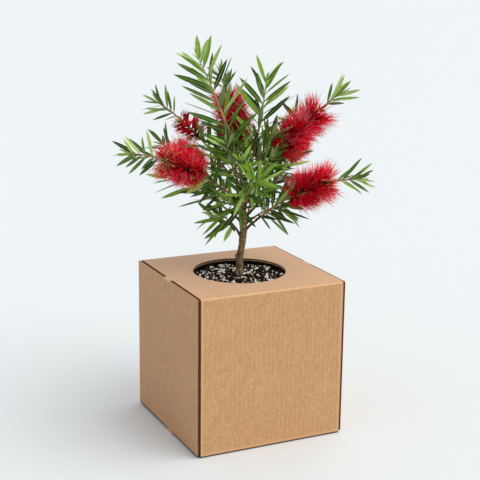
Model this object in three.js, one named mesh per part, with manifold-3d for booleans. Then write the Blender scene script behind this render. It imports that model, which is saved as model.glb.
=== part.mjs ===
// A young bottlebrush in its nursery pot, standing in a cardboard gift carton with a round window in the lid.
// Millimetres, +Z up. The origin is the centre of the carton's underside; the carton's front faces -Y.
// The trunk stands on the potting mix. Boughs leave it at named heights, and each bough ends where its leafy
// stem begins. A flowering stem carries a spike of stamens on a length of its own, with leaves before and after.
import * as THREE from "three";
import { mergeVertices } from "three/addons/utils/BufferGeometryUtils.js";
import Module from "manifold-3d";

const wasm = await Module();
wasm.setup();

// ---- Driving dimensions -------------------------------------------------------------------------------------
const GAP = 0.3; // clearance between touching pieces

const CARTON = { width: 197, depth: 195, height: 200, board: 3, fold: 3.6, corner: 3 };
const WINDOW_RADIUS = 59;
// The lid's tabs lie in notches of the side panels, which stand a little off the floor on a tab of their own.
const TAB = { width: 18, lift: 2, footOffset: -9 };

const POT = { rimRadius: 65, baseRadius: 50, wall: 1.6, lip: 3, lipHeight: 9, lipDraft: 0.4, floor: 2 };
const MIX = { belowLid: 8, dome: 1.5 }; // potting mix: its depth under the carton's top, and its rise to the middle

const FOOT = { x: 6, y: 11 }; // where the trunk stands on the mix
const TRUNK = { height: 128, radius: 4.4, topRadius: 2.5, thinsFrom: 55, flare: 2.4, flareHeight: 4.5 };
const SWAY = { reach: 3.4, direction: [0.9, -0.43], out: [20, 50], back: [98, 135] }; // the trunk's slow bend
const KNOB = { height: 23, radius: 2.6, reach: 3.6, rise: 0.35 }; // healed stub of a pruned side shoot
const BOUGH = { radius: 1.7, tipRadius: 1.3, sides: 6, rings: 4 };

const STEM = { radius: 1.2, tipRadius: 0.6, sides: 3, rings: 6, facet: 1.45 }; // facet: a triangle's extra reach
const TWIG = { radius: 0.8, tipRadius: 0.45, rings: 3, leaves: 7, leafScale: 0.8, firstLeaf: 0.3, bow: 1.5 };
const LEAF = { length: 44, width: 6.4, thickness: 0.9, widest: 0.46, sink: 0.35, crestScale: 0.78 };
const LEAF_SPREAD = { foot: 58, tip: 33, jitter: 14 }; // degrees between a leaf and its stem
const LEAF_TURN = { step: 137.5, jitter: 24, roll: 70 }; // degrees from leaf to leaf, and of its twist
const LIGHT = [-0.3, -0.65, 0.7]; // leaves twist on their stalks to face the window
const LOWEST_LEAF = CARTON.height + 7;

const SPIKE = { valley: 0.6, lean: 5, around: 14, rings: 9, twist: 1 / 7, inset: 1.5 };

// Each shoot leaves the trunk `from` mm above the mix and ends `tip` from the trunk's foot; `bow` is how far its
// middle stands off the straight line. `bare` is the share of it that is bough. `leaves` counts those of the leafy
// stem, `twigs` its side twigs, `flower` the share that the spike covers and `crest` the leaves beyond it. `vigour`
// is how large its leaves grow and `closed` how far its crest opens, each as a share of the usual. `droop` bends
// the leaves of a shaded shoot down, and `fan` turns them aside so that they spread across the light.
const SHOOTS = [
  { name: "leader", from: 128, tip: [-55, 8, 274], bow: [4, 0, 2], bare: 0, leaves: 38, vigour: 1.16,
    fan: 0.6 },
  { name: "right_leader", from: 108, tip: [32, -3, 246], bow: [4, 0, 0], bare: 0.22, leaves: 32,
    vigour: 1.14, fan: 0.6 },
  { name: "upper_left", from: 103, tip: [-80, 80, 214], bow: [2, 2, 11], bare: 0.22, leaves: 13,
    flower: [0.5, 0.75], radius: 18, valley: 0.3, around: 10, rings: 5, crest: 15 },
  { name: "left", from: 91, tip: [-150, -7, 167], bow: [0, 0, 13], bare: 0.14, leaves: 22, droop: 0.2,
    flower: [0.385, 0.725], radius: 28, crest: 20 },
  { name: "rear_top", from: 116, tip: [-9, 45, 250], bow: [7, 2, 0], bare: 0.2, leaves: 12,
    flower: [0.38, 0.86], radius: 26, crest: 8 },
  { name: "upper_right", from: 97, tip: [113, -41, 230], bow: [-1.5, 0.7, 8], bare: 0.16, leaves: 15,
    flower: [0.385, 0.86], radius: 30, crest: 13, closed: 0.65 },
  { name: "right", from: 55, tip: [116, -92, 131], bow: [0, 0, 18], bare: 0.17, leaves: 17,
    flower: [0.41, 0.785], radius: 30, crest: 13, closed: 0.85 },
  { name: "front", from: 83, tip: [-13, -76, 138], bow: [0, 0, 5], bare: 0.2, leaves: 24, twigs: 1 },
  { name: "low_left", from: 44, tip: [-30, -8, 80], bow: [0, 0, 6], bare: 0.35, leaves: 12, twigs: 1, droop: 0.55 },
  { name: "low_right", from: 63, tip: [60, -5, 86], bow: [0, 0, 5], bare: 0.25, leaves: 13, twigs: 1, droop: 0.45 },
  { name: "mid_left", from: 75, tip: [-26, -44, 98], bow: [0, 0, 5], bare: 0.2, leaves: 11, twigs: 1, droop: 0.1 },
  { name: "centre_left", from: 99, tip: [-28, -17, 172], bow: [-2, -2, 2], bare: 0.2, leaves: 20, twigs: 3 },
  { name: "centre_right", from: 120, tip: [35, -19, 180], bow: [2, 0, 2], bare: 0.2, leaves: 20, twigs: 2 },
  { name: "rear_right", from: 87, tip: [76, 9, 152], bow: [0, 0, 4], bare: 0.18, leaves: 18, twigs: 2 },
  { name: "back_left", from: 79, tip: [-52, 134, 150], bow: [0, 0, 8], bare: 0.15, leaves: 18,
    flower: [0.54, 0.87], radius: 27, crest: 10 },
  { name: "back_right", from: 71, tip: [120, 86, 190], bow: [20, -15, 8], bare: 0.15, leaves: 18,
    flower: [0.52, 0.82], radius: 23, crest: 10 },
  { name: "back_upper", from: 111, tip: [22, 72, 196], bow: [0, 4, 4], bare: 0.2, leaves: 18, twigs: 2 },
  { name: "back_low_left", from: 66, tip: [-84, 40, 124], bow: [0, 0, 8], bare: 0.2, leaves: 15, twigs: 1 },
  { name: "back_low_right", from: 50, tip: [52, 60, 98], bow: [0, 0, 8], bare: 0.2, leaves: 15, twigs: 1 },
  { name: "back_middle", from: 91, tip: [26, 98, 138], bow: [0, 0, 6], bare: 0.18, leaves: 18, twigs: 2 },
];

// ---- Materials ----------------------------------------------------------------------------------------------
const finish = (color, roughness) => new THREE.MeshStandardMaterial({ color, roughness, metalness: 0 });
const KRAFT = finish(0xc89c6c, 0.85);
const KRAFT_SIDE = finish(0xbe9468, 0.85);
const BLACK_PLASTIC = finish(0x1a1a1a, 0.45);
const POTTING_MIX = finish(0x2b211c, 0.95);
const BARK = finish(0x8a6a4c, 0.85);
const YOUNG_BARK = finish(0x9a6b4a, 0.7);
const GREEN_LEAF = finish(0x4f7d2e, 0.5);
const YOUNG_LEAF = finish(0x76993c, 0.5);
const CRIMSON = finish(0xc4122c, 0.6);

// ---- Small helpers ------------------------------------------------------------------------------------------
const vec = (x, y, z) => new THREE.Vector3(x, y, z);
const mix = (a, b, t) => a + (b - a) * t;
const degrees = (angle) => (angle * Math.PI) / 180;

function smoothStep(low, high, x) {
  const t = Math.min(1, Math.max(0, (x - low) / (high - low)));
  return t * t * (3 - 2 * t);
}

// The same run of numbers from 0 to 1 for the same seed.
function seeded(seed) {
  let state = (seed * 2654435761 + 12345) >>> 0;
  return () => {
    state = (Math.imul(state, 1664525) + 1013904223) >>> 0;
    return state / 4294967296;
  };
}

function solidOf(geometry) {
  const loose = geometry.index ? geometry.toNonIndexed() : geometry;
  const bare = new THREE.BufferGeometry().setAttribute("position", loose.getAttribute("position"));
  const merged = mergeVertices(bare, 1e-4);
  return new wasm.Manifold(
    new wasm.Mesh({
      numProp: 3,
      vertProperties: merged.attributes.position.array,
      triVerts: new Uint32Array(merged.index.array),
    }),
  );
}

function geometryOf(solid) {
  const mesh = solid.getMesh();
  const places = new Float32Array(mesh.numVert * 3);
  for (let i = 0; i < mesh.numVert; i++) {
    places.set(mesh.vertProperties.subarray(i * mesh.numProp, i * mesh.numProp + 3), i * 3);
  }
  return new THREE.BufferGeometry()
    .setAttribute("position", new THREE.BufferAttribute(places, 3))
    .setIndex(new THREE.BufferAttribute(mesh.triVerts, 1));
}

// Moves every vertex of a three.js shape to where `place` puts it.
function mapped(geometry, place) {
  const position = geometry.getAttribute("position");
  for (let i = 0; i < position.count; i++) {
    const p = place(position.getX(i), position.getY(i), position.getZ(i));
    position.setXYZ(i, p.x, p.y, p.z);
  }
  return geometry;
}

// ---- Lines that limbs follow --------------------------------------------------------------------------------
const MIX_TOP = CARTON.height - MIX.belowLid;

function trunkPoint(height) {
  const off = SWAY.reach * (smoothStep(...SWAY.out, height) - smoothStep(...SWAY.back, height));
  const [x, y] = SWAY.direction;
  return vec(FOOT.x + x * off, FOOT.y + y * off, MIX_TOP + GAP + height);
}

function trunkRadius(height) {
  const wood = mix(TRUNK.radius, TRUNK.topRadius, smoothStep(TRUNK.thinsFrom, TRUNK.height, height));
  return wood + TRUNK.flare * Math.exp(-height / TRUNK.flareHeight);
}

// A limb's centreline, with a steady frame round it: along, side and over at any share t of its length.
function lineOf(start, end, bow) {
  const control = start.clone().add(end).multiplyScalar(0.5).addScaledVector(bow, 2);
  const curve = new THREE.QuadraticBezierCurve3(start, control, end);
  const steep = Math.abs(end.clone().sub(start).normalize().z) > 0.85;
  const reference = steep ? vec(1, 0, 0) : vec(0, 0, 1);
  return {
    length: curve.getLength(),
    at(t) {
      const here = curve.getPoint(t);
      const along = curve.getTangent(t).normalize();
      const side = reference.clone().addScaledVector(along, -reference.dot(along)).normalize();
      const over = along.clone().cross(side);
      return { here, along, side, over };
    },
  };
}

function shootLine(shoot) {
  const [x, y, z] = shoot.tip;
  return lineOf(trunkPoint(shoot.from), vec(FOOT.x + x, FOOT.y + y, MIX_TOP + z), vec(...shoot.bow));
}

const aroundLine = ({ side, over }, angle) =>
  side.clone().multiplyScalar(Math.cos(angle)).addScaledVector(over, Math.sin(angle));

// ---- Shapes -------------------------------------------------------------------------------------------------
// A tapering limb along a line: a cylinder whose rings are carried to the line's frames.
function limb(line, from, to, radiusAt, sides, rings) {
  return solidOf(
    mapped(new THREE.CylinderGeometry(1, 1, 1, sides, rings), (x, y, z) => {
      const share = y + 0.5;
      const frame = line.at(mix(from, to, share));
      const radius = radiusAt(share);
      return frame.here.addScaledVector(frame.side, z * radius).addScaledVector(frame.over, x * radius);
    }),
  );
}

// A lance-shaped leaf of eight faces, its root sunk in the stem. `over` is the side that faces up, and `grown`
// makes it larger all round.
function leafSolid({ root, out, over, length, width }, grown = 0) {
  const across = out.clone().cross(over);
  return solidOf(
    mapped(new THREE.OctahedronGeometry(1, 0), (x, y, z) => {
      const along = y > 0.5 ? length + grown : y < -0.5 ? -LEAF.sink : length * LEAF.widest;
      return root
        .clone()
        .addScaledVector(out, along)
        .addScaledVector(across, x * (width / 2 + grown))
        .addScaledVector(over, z * (LEAF.thickness / 2 + grown));
    }),
  );
}

// A bottle brush of stamens: every second place of a grid round the stem stands out as a point that leans forward.
function brushSolid(line, from, to, { radius, valley, around, rings, lean, twist }) {
  const length = (to - from) * line.length;
  const outline = (share) => Math.sqrt(1 - Math.pow(2 * share - 1, 4));
  const place = (share, out, angle) => {
    const frame = line.at(mix(from, to, share));
    return frame.here.addScaledVector(aroundLine(frame, angle), out);
  };
  const places = [place(0, 0, 0)];
  for (let i = 0; i < rings; i++) {
    for (let j = 0; j < around; j++) {
      const share = (i + 0.7) / (rings + 0.4);
      const stands = (i + j) % 2 === 0;
      const forward = stands ? Math.min(1, share + lean / length) : share;
      const out = radius * outline(share) * (stands ? 1 : valley);
      places.push(place(forward, out, ((j + i * twist) / around) * 2 * Math.PI));
    }
  }
  places.push(place(1, 0, 0));

  const spot = (i, j) => 1 + i * around + (j % around);
  const triangles = [];
  for (let j = 0; j < around; j++) {
    triangles.push(0, spot(0, j + 1), spot(0, j));
    triangles.push(places.length - 1, spot(rings - 1, j), spot(rings - 1, j + 1));
    for (let i = 0; i + 1 < rings; i++) {
      const [a, b, c, d] = [spot(i, j), spot(i, j + 1), spot(i + 1, j + 1), spot(i + 1, j)];
      // The quad is split between its two low corners, so that each high corner stays a point.
      if ((i + j) % 2 === 0) triangles.push(a, b, d, b, c, d);
      else triangles.push(a, b, c, a, c, d);
    }
  }
  return solidOf(
    new THREE.BufferGeometry()
      .setAttribute("position", new THREE.Float32BufferAttribute(places.flatMap((p) => p.toArray()), 3))
      .setIndex(triangles),
  );
}

// ---- The rule that leaves and twigs follow ------------------------------------------------------------------
const SUNWARD = vec(LIGHT[0], LIGHT[1], 0).normalize();

// Leaves spiral up a stem: spreading at its foot, upright at its tip, longest in the middle.
function leafPlan(line, from, to, count, { scale, droop = 0, closed = 1, fan = 0 }, random) {
  const phase = random() * 360;
  return Array.from({ length: count }, (_, i) => {
    const share = (i + 0.6) / count;
    const frame = line.at(mix(from, to, share));
    const turn = degrees(phase + i * LEAF_TURN.step + (random() - 0.5) * LEAF_TURN.jitter);
    const opening = mix(LEAF_SPREAD.foot, LEAF_SPREAD.tip, Math.pow(share, 1.5));
    const spread = degrees(opening * closed + (random() - 0.5) * LEAF_SPREAD.jitter);
    const roll = degrees((random() - 0.5) * LEAF_TURN.roll);
    const size = (0.8 + 0.26 * Math.sin(Math.PI * share) - 0.12 * share) * (0.86 + 0.28 * random());
    const width = LEAF.width * scale * (0.85 + 0.3 * random());
    const around = aroundLine(frame, turn);
    around.addScaledVector(SUNWARD, -fan * around.dot(SUNWARD)).normalize();
    const out = frame.along.clone().multiplyScalar(Math.cos(spread));
    out.addScaledVector(around, Math.sin(spread)).setZ(out.z - droop).normalize();
    const over = vec(...LIGHT).addScaledVector(frame.along, 0.4);
    over.addScaledVector(out, -over.dot(out)).normalize().applyAxisAngle(out, roll);
    return { root: frame.here, out, over, length: LEAF.length * scale * size, width };
  });
}

// Side twigs leave a stem alternately, and reach forward and outward.
function twigPlan(line, from, to, count, random) {
  return Array.from({ length: count }, (_, i) => {
    const share = mix(0.1, 0.62, (i + random() * 0.5) / count);
    const frame = line.at(mix(from, to, share));
    const outward = aroundLine(frame, degrees(70 + i * 165 + random() * 60));
    const reach = mix(34, 24, share) * (0.85 + 0.3 * random());
    const end = frame.here.clone().addScaledVector(frame.along, reach * 0.74).addScaledVector(outward, reach * 0.66);
    return lineOf(frame.here, end, outward.multiplyScalar(TWIG.bow));
  });
}

const stemRadius = (share) => mix(STEM.radius, STEM.tipRadius, share) * STEM.facet;
const twigRadius = (share) => mix(TWIG.radius, TWIG.tipRadius, share) * STEM.facet;
const boughRadius = (share) => mix(BOUGH.radius, BOUGH.tipRadius, share);

// ---- Carton -------------------------------------------------------------------------------------------------
function roundedRectangle(shape, halfWide, low, high, radius) {
  shape.moveTo(-halfWide + radius, low);
  shape.absarc(halfWide - radius, low + radius, radius, -Math.PI / 2, 0);
  shape.absarc(halfWide - radius, high - radius, radius, 0, Math.PI / 2);
  shape.absarc(-halfWide + radius, high - radius, radius, Math.PI / 2, Math.PI);
  shape.absarc(-halfWide + radius, low + radius, radius, Math.PI, Math.PI * 1.5);
  return shape;
}

// Front, lid, back and floor are one sheet of board, folded round four creases. Shape x runs front to back and
// shape y runs up, so the extruded sheet is turned to lie across the carton.
function cartonWrap() {
  const { width, depth, height, board, fold } = CARTON;
  const half = width / 2 - board - GAP;
  const outline = roundedRectangle(new THREE.Shape(), depth / 2, 0, height, fold);
  outline.holes.push(roundedRectangle(new THREE.Path(), depth / 2 - board, board, height - board, fold - board));
  const sheet = new THREE.ExtrudeGeometry(outline, { depth: 2 * half, bevelEnabled: false, curveSegments: 4 });
  mapped(sheet, (x, y, z) => vec(z - half, x, y));
  const tabs = new THREE.BoxGeometry(width, TAB.width, board).translate(0, 0, height - board / 2);
  const window = new THREE.CylinderGeometry(WINDOW_RADIUS, WINDOW_RADIUS, 3 * board, 48).rotateX(Math.PI / 2);
  return solidOf(sheet).add(solidOf(tabs)).subtract(solidOf(window.translate(0, 0, height)));
}

// A side panel covers the sheet's cut edges. The lid's tab lies in its top notch, and its own tab meets the floor.
function cartonSide(sign) {
  const { width, depth, height, board, corner } = CARTON;
  const inner = sign > 0 ? width / 2 - board : -width / 2;
  const outline = roundedRectangle(new THREE.Shape(), depth / 2, TAB.lift, height, corner);
  const panel = new THREE.ExtrudeGeometry(outline, { depth: board, bevelEnabled: false, curveSegments: 3 });
  mapped(panel, (x, y, z) => vec(z + inner, x, y));
  const notch = new THREE.BoxGeometry(4 * board, TAB.width + 2 * GAP, 2 * (board + GAP));
  const foot = new THREE.BoxGeometry(board, TAB.width, 2 * TAB.lift);
  return solidOf(panel)
    .subtract(solidOf(notch.translate((sign * width) / 2, 0, height)))
    .add(solidOf(foot.translate(inner + board / 2, TAB.footOffset, TAB.lift)));
}

// ---- Pot and potting mix ------------------------------------------------------------------------------------
const potFoot = CARTON.board + GAP;
const potRim = CARTON.height - CARTON.board - GAP;
const potRadius = (z) => mix(POT.baseRadius, POT.rimRadius - POT.lip, (z - potFoot) / (potRim - potFoot));

function turned(profile, segments) {
  const points = profile.map(([radius, z]) => new THREE.Vector2(radius, z));
  return solidOf(new THREE.LatheGeometry(points, segments).rotateX(Math.PI / 2));
}

function nurseryPot() {
  const { rimRadius, wall, lipHeight, lipDraft, floor } = POT;
  const lipFoot = potRim - lipHeight;
  const inside = potFoot + floor;
  return turned(
    [
      [0, potFoot],
      [potRadius(potFoot), potFoot],
      [potRadius(lipFoot), lipFoot],
      [rimRadius, lipFoot],
      [rimRadius + lipDraft, potRim - 1],
      [rimRadius - lipDraft, potRim],
      [potRadius(potRim) - wall, potRim],
      [potRadius(inside) - wall, inside],
      [0, inside],
    ],
    36,
  );
}

function pottingMix() {
  const bottom = potFoot + POT.floor + GAP;
  const edge = (z) => potRadius(z) - POT.wall - GAP;
  const rim = MIX_TOP - MIX.dome;
  const dome = [1, 0.8, 0.55, 0.3, 0.1].map((share) => [edge(rim) * share, rim + MIX.dome * (1 - share * share)]);
  return turned([[0, bottom], [edge(bottom), bottom], ...dome, [0, MIX_TOP]], 32);
}

// ---- Trunk --------------------------------------------------------------------------------------------------
// Rings stand closer together in the flare than above it.
function trunkTube(from, to, grown = 0) {
  return solidOf(
    mapped(new THREE.CylinderGeometry(1, 1, 1, 10, 16), (x, y, z) => {
      const height = mix(from, to, Math.pow(y + 0.5, 1.35));
      const radius = trunkRadius(Math.max(0, height)) + grown;
      return trunkPoint(height).add(vec(z * radius, x * radius, 0));
    }),
  );
}

function knob() {
  const [x, y] = SWAY.direction;
  const centre = trunkPoint(KNOB.height).addScaledVector(vec(-x, -y, KNOB.rise).normalize(), KNOB.reach);
  return solidOf(new THREE.IcosahedronGeometry(KNOB.radius, 1).translate(...centre.toArray()));
}

// ---- Assembly -----------------------------------------------------------------------------------------------
const plant = new THREE.Group();
plant.name = "bottlebrush";
const placed = []; // every solid that a leaf has to keep clear of, with the node that owns it

function addNode(name, solid, material) {
  const mesh = new THREE.Mesh(geometryOf(solid), material);
  mesh.name = name;
  plant.add(mesh);
}

function keep(owner, solid) {
  placed.push({ owner, solid, box: solid.boundingBox() });
  return solid;
}

const boxesMeet = (a, b) => [0, 1, 2].every((k) => a.min[k] <= b.max[k] && b.min[k] <= a.max[k]);

// Whether a solid would touch the pieces of any other node, or with `own` those of its own node.
function meets(solid, owner, own = false) {
  const box = solid.boundingBox();
  return placed.some(
    (p) => (p.owner === owner) === own && boxesMeet(p.box, box) && p.solid.intersect(solid).volume() > 0,
  );
}

addNode("carton_wrap", keep("carton", cartonWrap()), KRAFT);
addNode("carton_side_left", keep("carton", cartonSide(-1)), KRAFT_SIDE);
addNode("carton_side_right", keep("carton", cartonSide(1)), KRAFT_SIDE);
addNode("pot", nurseryPot(), BLACK_PLASTIC);
addNode("potting_mix", pottingMix(), POTTING_MIX);
addNode("trunk", keep("trunk", trunkTube(0, TRUNK.height).add(knob())), BARK);

const roomForTrunk = trunkTube(-GAP, TRUNK.height + GAP, 1.5 * GAP);

// First every bough, stem and spike, as these stand whatever the leaves do.
const masses = [];
SHOOTS.forEach((shoot, index) => {
  const { name, bare, flower, vigour = 1, fan, droop, closed } = shoot;
  const random = seeded(index + 1);
  const line = shootLine(shoot);
  const gap = GAP / line.length;
  if (bare > 0) {
    const bough = limb(line, 0, bare, boughRadius, BOUGH.sides, BOUGH.rings).subtract(roomForTrunk);
    addNode("bough_" + name, keep("bough_" + name, bough), YOUNG_BARK);
  }

  const from = bare + gap;
  const to = flower ? flower[0] - gap : 1;
  const stem = limb(line, from, to, (share) => stemRadius(share * to), STEM.sides, STEM.rings);
  const leaves = leafPlan(line, mix(from, to, 0.05), to, shoot.leaves, { scale: vigour, droop, fan }, random);
  const twigs = twigPlan(line, from, to, shoot.twigs ?? 0, random).map((twig) => ({
    wood: limb(twig, 0, 1, twigRadius, STEM.sides, TWIG.rings),
    leaves: leafPlan(twig, TWIG.firstLeaf, 1, TWIG.leaves, { scale: TWIG.leafScale, droop }, random),
  }));
  masses.push({ name: "leaves_" + name, material: GREEN_LEAF, stem: keep("leaves_" + name, stem), leaves, twigs });
  if (!flower) return;

  const [opens, ends] = flower;
  const inset = SPIKE.inset / line.length;
  const axis = limb(line, opens, ends, () => stemRadius(0.5), STEM.sides, 3);
  const brush = brushSolid(line, opens + inset, ends - inset, { ...SPIKE, ...shoot }).add(axis);
  addNode("flower_" + name, keep("flower_" + name, brush), CRIMSON);

  const tipStem = limb(line, ends + gap, 1, (share) => stemRadius(mix(0.6, 1, share)), STEM.sides, 3);
  const tipLeaves = leafPlan(line, mix(ends, 1, 0.1), 1, shoot.crest, { scale: LEAF.crestScale, closed }, random);
  masses.push({
    name: "crest_" + name,
    material: YOUNG_LEAF,
    stem: keep("crest_" + name, tipStem),
    leaves: tipLeaves,
    twigs: [],
  });
});

// Then the twigs and leaves of each mass, less those that would touch another piece or cross their own mass.
for (const { name, material, stem, leaves, twigs } of masses) {
  const pieces = [stem];
  const addLeaf = (leaf) => {
    const roomy = leafSolid(leaf, GAP);
    if (roomy.boundingBox().min[2] < LOWEST_LEAF || meets(roomy, name)) return;
    const blade = leafSolid({ ...leaf, root: leaf.root.clone().addScaledVector(leaf.out, leaf.length * 0.3) });
    if (!meets(blade, name, true)) pieces.push(keep(name, leafSolid(leaf)));
  };
  for (const twig of twigs) {
    if (meets(twig.wood, name)) continue;
    pieces.push(keep(name, twig.wood));
    twig.leaves.forEach(addLeaf);
  }
  leaves.forEach(addLeaf);
  addNode(name, wasm.Manifold.union(pieces).simplify(GAP / 10), material);
}

export default plant;
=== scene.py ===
# %% [markdown]
# # A young bottlebrush in its pot, standing in a kraft carton
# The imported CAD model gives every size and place. This notebook dresses it: board with flutes, a pot of
# potting mix, bark, leaves and flower spikes. It runs from top to bottom, and each cell prints what it
# made.

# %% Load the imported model
import math

import bpy
import numpy as np
from mathutils import Matrix, noise


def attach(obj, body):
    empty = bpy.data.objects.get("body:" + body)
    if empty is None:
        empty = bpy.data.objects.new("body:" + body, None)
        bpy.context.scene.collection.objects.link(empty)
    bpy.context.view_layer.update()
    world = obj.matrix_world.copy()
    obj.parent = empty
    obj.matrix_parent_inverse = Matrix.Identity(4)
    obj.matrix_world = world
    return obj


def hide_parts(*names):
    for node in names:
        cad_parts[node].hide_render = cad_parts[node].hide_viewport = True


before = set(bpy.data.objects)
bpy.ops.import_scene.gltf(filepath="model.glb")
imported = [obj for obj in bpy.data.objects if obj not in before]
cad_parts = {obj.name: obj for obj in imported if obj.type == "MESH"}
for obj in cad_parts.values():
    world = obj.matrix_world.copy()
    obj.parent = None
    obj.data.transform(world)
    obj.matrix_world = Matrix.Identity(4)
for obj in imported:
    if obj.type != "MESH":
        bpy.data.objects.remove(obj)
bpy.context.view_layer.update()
NODES = sorted(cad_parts)

# %% [markdown]
# ## The camera
# A product picture is taken from a little above and from one side, with a long lens so that the carton's
# upright edges stay nearly parallel. The camera is turned about the upright, then tipped down, then rolled
# by less than a degree, in that order, which is easier to reason about than three Euler angles.

# %% Camera
MM = 0.001  # sizes below are in millimetres, and Blender counts in metres
CAMERA = {"place": (-614.11, -1282.44, 599.07), "turn": -25.602, "down": 14.187, "roll": 0.676,
          "lens": 87.145, "sensor": 36}
FAR = 100  # metres, beyond the floor's far edge


def turned(degrees, axis):
    """A turn about one axis, as a matrix."""
    return Matrix.Rotation(math.radians(degrees), 4, axis)


camera_data = bpy.data.cameras.new("camera")
camera_data.lens = CAMERA["lens"]
camera_data.sensor_width = CAMERA["sensor"]
camera_data.clip_end = FAR
camera = bpy.data.objects.new("camera", camera_data)
bpy.context.scene.collection.objects.link(camera)
camera.matrix_world = (
    Matrix.Translation([MM * value for value in CAMERA["place"]])
    @ turned(CAMERA["turn"], "Z")
    @ turned(90 - CAMERA["down"], "X")
    @ turned(CAMERA["roll"], "Z")
)
bpy.context.scene.camera = camera
print("camera at", [round(value, 3) for value in camera.matrix_world.translation])

# %% [markdown]
# ## Floor and light
# The studio is a pale floor that runs on past the frame, one wide soft lamp to the front right, a weaker
# one to the right and behind that lifts the lid, and an even glow from all round. A sun lamp with a wide
# angle acts like a large softbox that is equally bright everywhere, so the floor stays even and the shadow
# has a soft edge.

# %% Materials and pieces
def principled(name, colour, roughness, **sockets):
    """A material of one plain colour. The keywords are other sockets of its shader."""
    material = bpy.data.materials.new(name)
    material.use_nodes = True
    shader = material.node_tree.nodes["Principled BSDF"]
    shader.inputs["Base Color"].default_value = (*colour, 1)
    shader.inputs["Roughness"].default_value = roughness
    for socket, value in sockets.items():
        shader.inputs[socket.replace("_", " ")].default_value = value
    return material


def shade(red, green, blue):
    """A colour on the 0 to 255 scale of a screen, as the linear values that a shader wants."""
    return tuple((value / 255) ** 2.2 for value in (red, green, blue))


def piece(name, vertices, faces, materials, slots=None, smooth=True):
    """One object at the origin, from vertices in millimetres."""
    mesh = bpy.data.meshes.new(name)
    mesh.from_pydata((np.asarray(vertices) * MM).tolist(), [], faces)
    for material in materials:
        mesh.materials.append(material)
    if slots is not None:
        mesh.polygons.foreach_set("material_index", np.asarray(slots, np.int32))
    mesh.polygons.foreach_set("use_smooth", np.full(len(mesh.polygons), smooth))
    mesh.update()
    made = bpy.data.objects.new(name, mesh)
    bpy.context.scene.collection.objects.link(made)
    return made


def stands_for(made, slot, *nodes):
    """The piece rides on the object's one body and replaces some nodes. Its slot is not used."""
    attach(made, "root")
    if nodes:
        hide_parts(*nodes)
    triangles = sum(len(face.vertices) - 2 for face in made.data.polygons)
    print(made.name, "has", triangles, "triangles and stands for", len(nodes), "nodes")


print("a mid grey of 128 is", round(shade(128, 128, 128)[0], 3), "to a shader")

# %% Floor
FLOOR = {"radius": 22000, "points": 64, "colour": (0.80, 0.835, 0.845)}
rim = np.linspace(0, 2 * math.pi, FLOOR["points"], endpoint=False)
floor = piece(
    "floor",
    np.stack([FLOOR["radius"] * np.cos(rim), FLOOR["radius"] * np.sin(rim), 0 * rim], 1),
    [list(range(FLOOR["points"]))],
    [principled("studio_floor", FLOOR["colour"], 0.9, Specular_IOR_Level=0.1)],
)
print("floor laid,", 2 * FLOOR["radius"] * MM, "m wide")

# %% Light
GLOW = {"colour": (0.93, 0.965, 1.0), "strength": 0.63}
world = bpy.data.worlds.new("studio")
world.use_nodes = True
glow = world.node_tree.nodes["Background"].inputs
glow["Color"].default_value = (*GLOW["colour"], 1)
glow["Strength"].default_value = GLOW["strength"]
bpy.context.scene.world = world
bpy.context.scene.view_settings.view_transform = "Standard"


def sun(name, turn, height, strength, angle, colour=(1, 1, 1)):
    """A lamp that shines from `turn` degrees round from the front and `height` degrees up."""
    data = bpy.data.lights.new(name, "SUN")
    data.energy, data.angle, data.color = strength, math.radians(angle), colour
    lamp = bpy.data.objects.new(name, data)
    bpy.context.scene.collection.objects.link(lamp)
    lamp.matrix_world = turned(turn, "Z") @ turned(90 - height, "X")
    return lamp


sun("softbox", turn=47, height=50, strength=1.72, angle=62, colour=(1, 0.97, 0.93))
sun("kicker", turn=128, height=40, strength=0.38, angle=55)
print("softbox, kicker and glow are set")

# %% [markdown]
# ## Helpers for node trees
# A material with a pattern is a tree of nodes: a place on the object goes in, noise turns it into a value,
# and the value picks a colour. Each node takes three or four lines to make and join by hand, so short
# functions do it here. A pattern that reads object coordinates keeps its real size on every panel.

# %% Helpers for node trees
NODE_SETTINGS = ("operation", "data_type", "blend_type", "bands_direction", "wave_profile")


def wire(tree, kind, **settings):
    """A new node, with its sockets set by name or number, or joined to another node's output."""
    made = tree.nodes.new(kind)
    for key, value in settings.items():
        if key in NODE_SETTINGS:
            setattr(made, key, value)
            continue
        socket = made.inputs[int(key[1:])] if key[0] == "_" else made.inputs[key.replace("_", " ")]
        if isinstance(value, bpy.types.NodeSocket):
            tree.links.new(value, socket)
        else:
            socket.default_value = value
    return made


def blended(tree, share, low, high):
    """The colour that lies `share` of the way between two others."""
    low, high = ((*value, 1) if isinstance(value, tuple) else value for value in (low, high))
    return wire(tree, "ShaderNodeMix", data_type="RGBA", _0=share, _6=low, _7=high).outputs[2]


def ranged(tree, value, low, high, to_low=0.0, to_high=1.0):
    """A value between `low` and `high`, stretched to run from `to_low` to `to_high`."""
    return wire(tree, "ShaderNodeMapRange", _0=value, _1=low, _2=high, _3=to_low, _4=to_high).outputs[0]


print("nodes can be made, blended and ranged")

# %% Helpers for patterns
def maths(tree, operation, *values):
    """The outcome of one sum on sockets and numbers."""
    sockets = {f"_{number}": value for number, value in enumerate(values)}
    return wire(tree, "ShaderNodeMath", operation=operation, **sockets).outputs[0]


def speckle(tree, where, scale, detail, roughness=0.5):
    """Noise between 0 and 1. A larger scale makes finer grains."""
    made = wire(tree, "ShaderNodeTexNoise", Vector=where, Scale=scale, Detail=detail, Roughness=roughness)
    return made.outputs[0]


def squashed(tree, where, upright):
    """A place whose height counts for less, which draws a pattern out along the upright."""
    return wire(tree, "ShaderNodeMapping", Vector=where, Scale=(1, 1, upright)).outputs[0]


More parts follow.
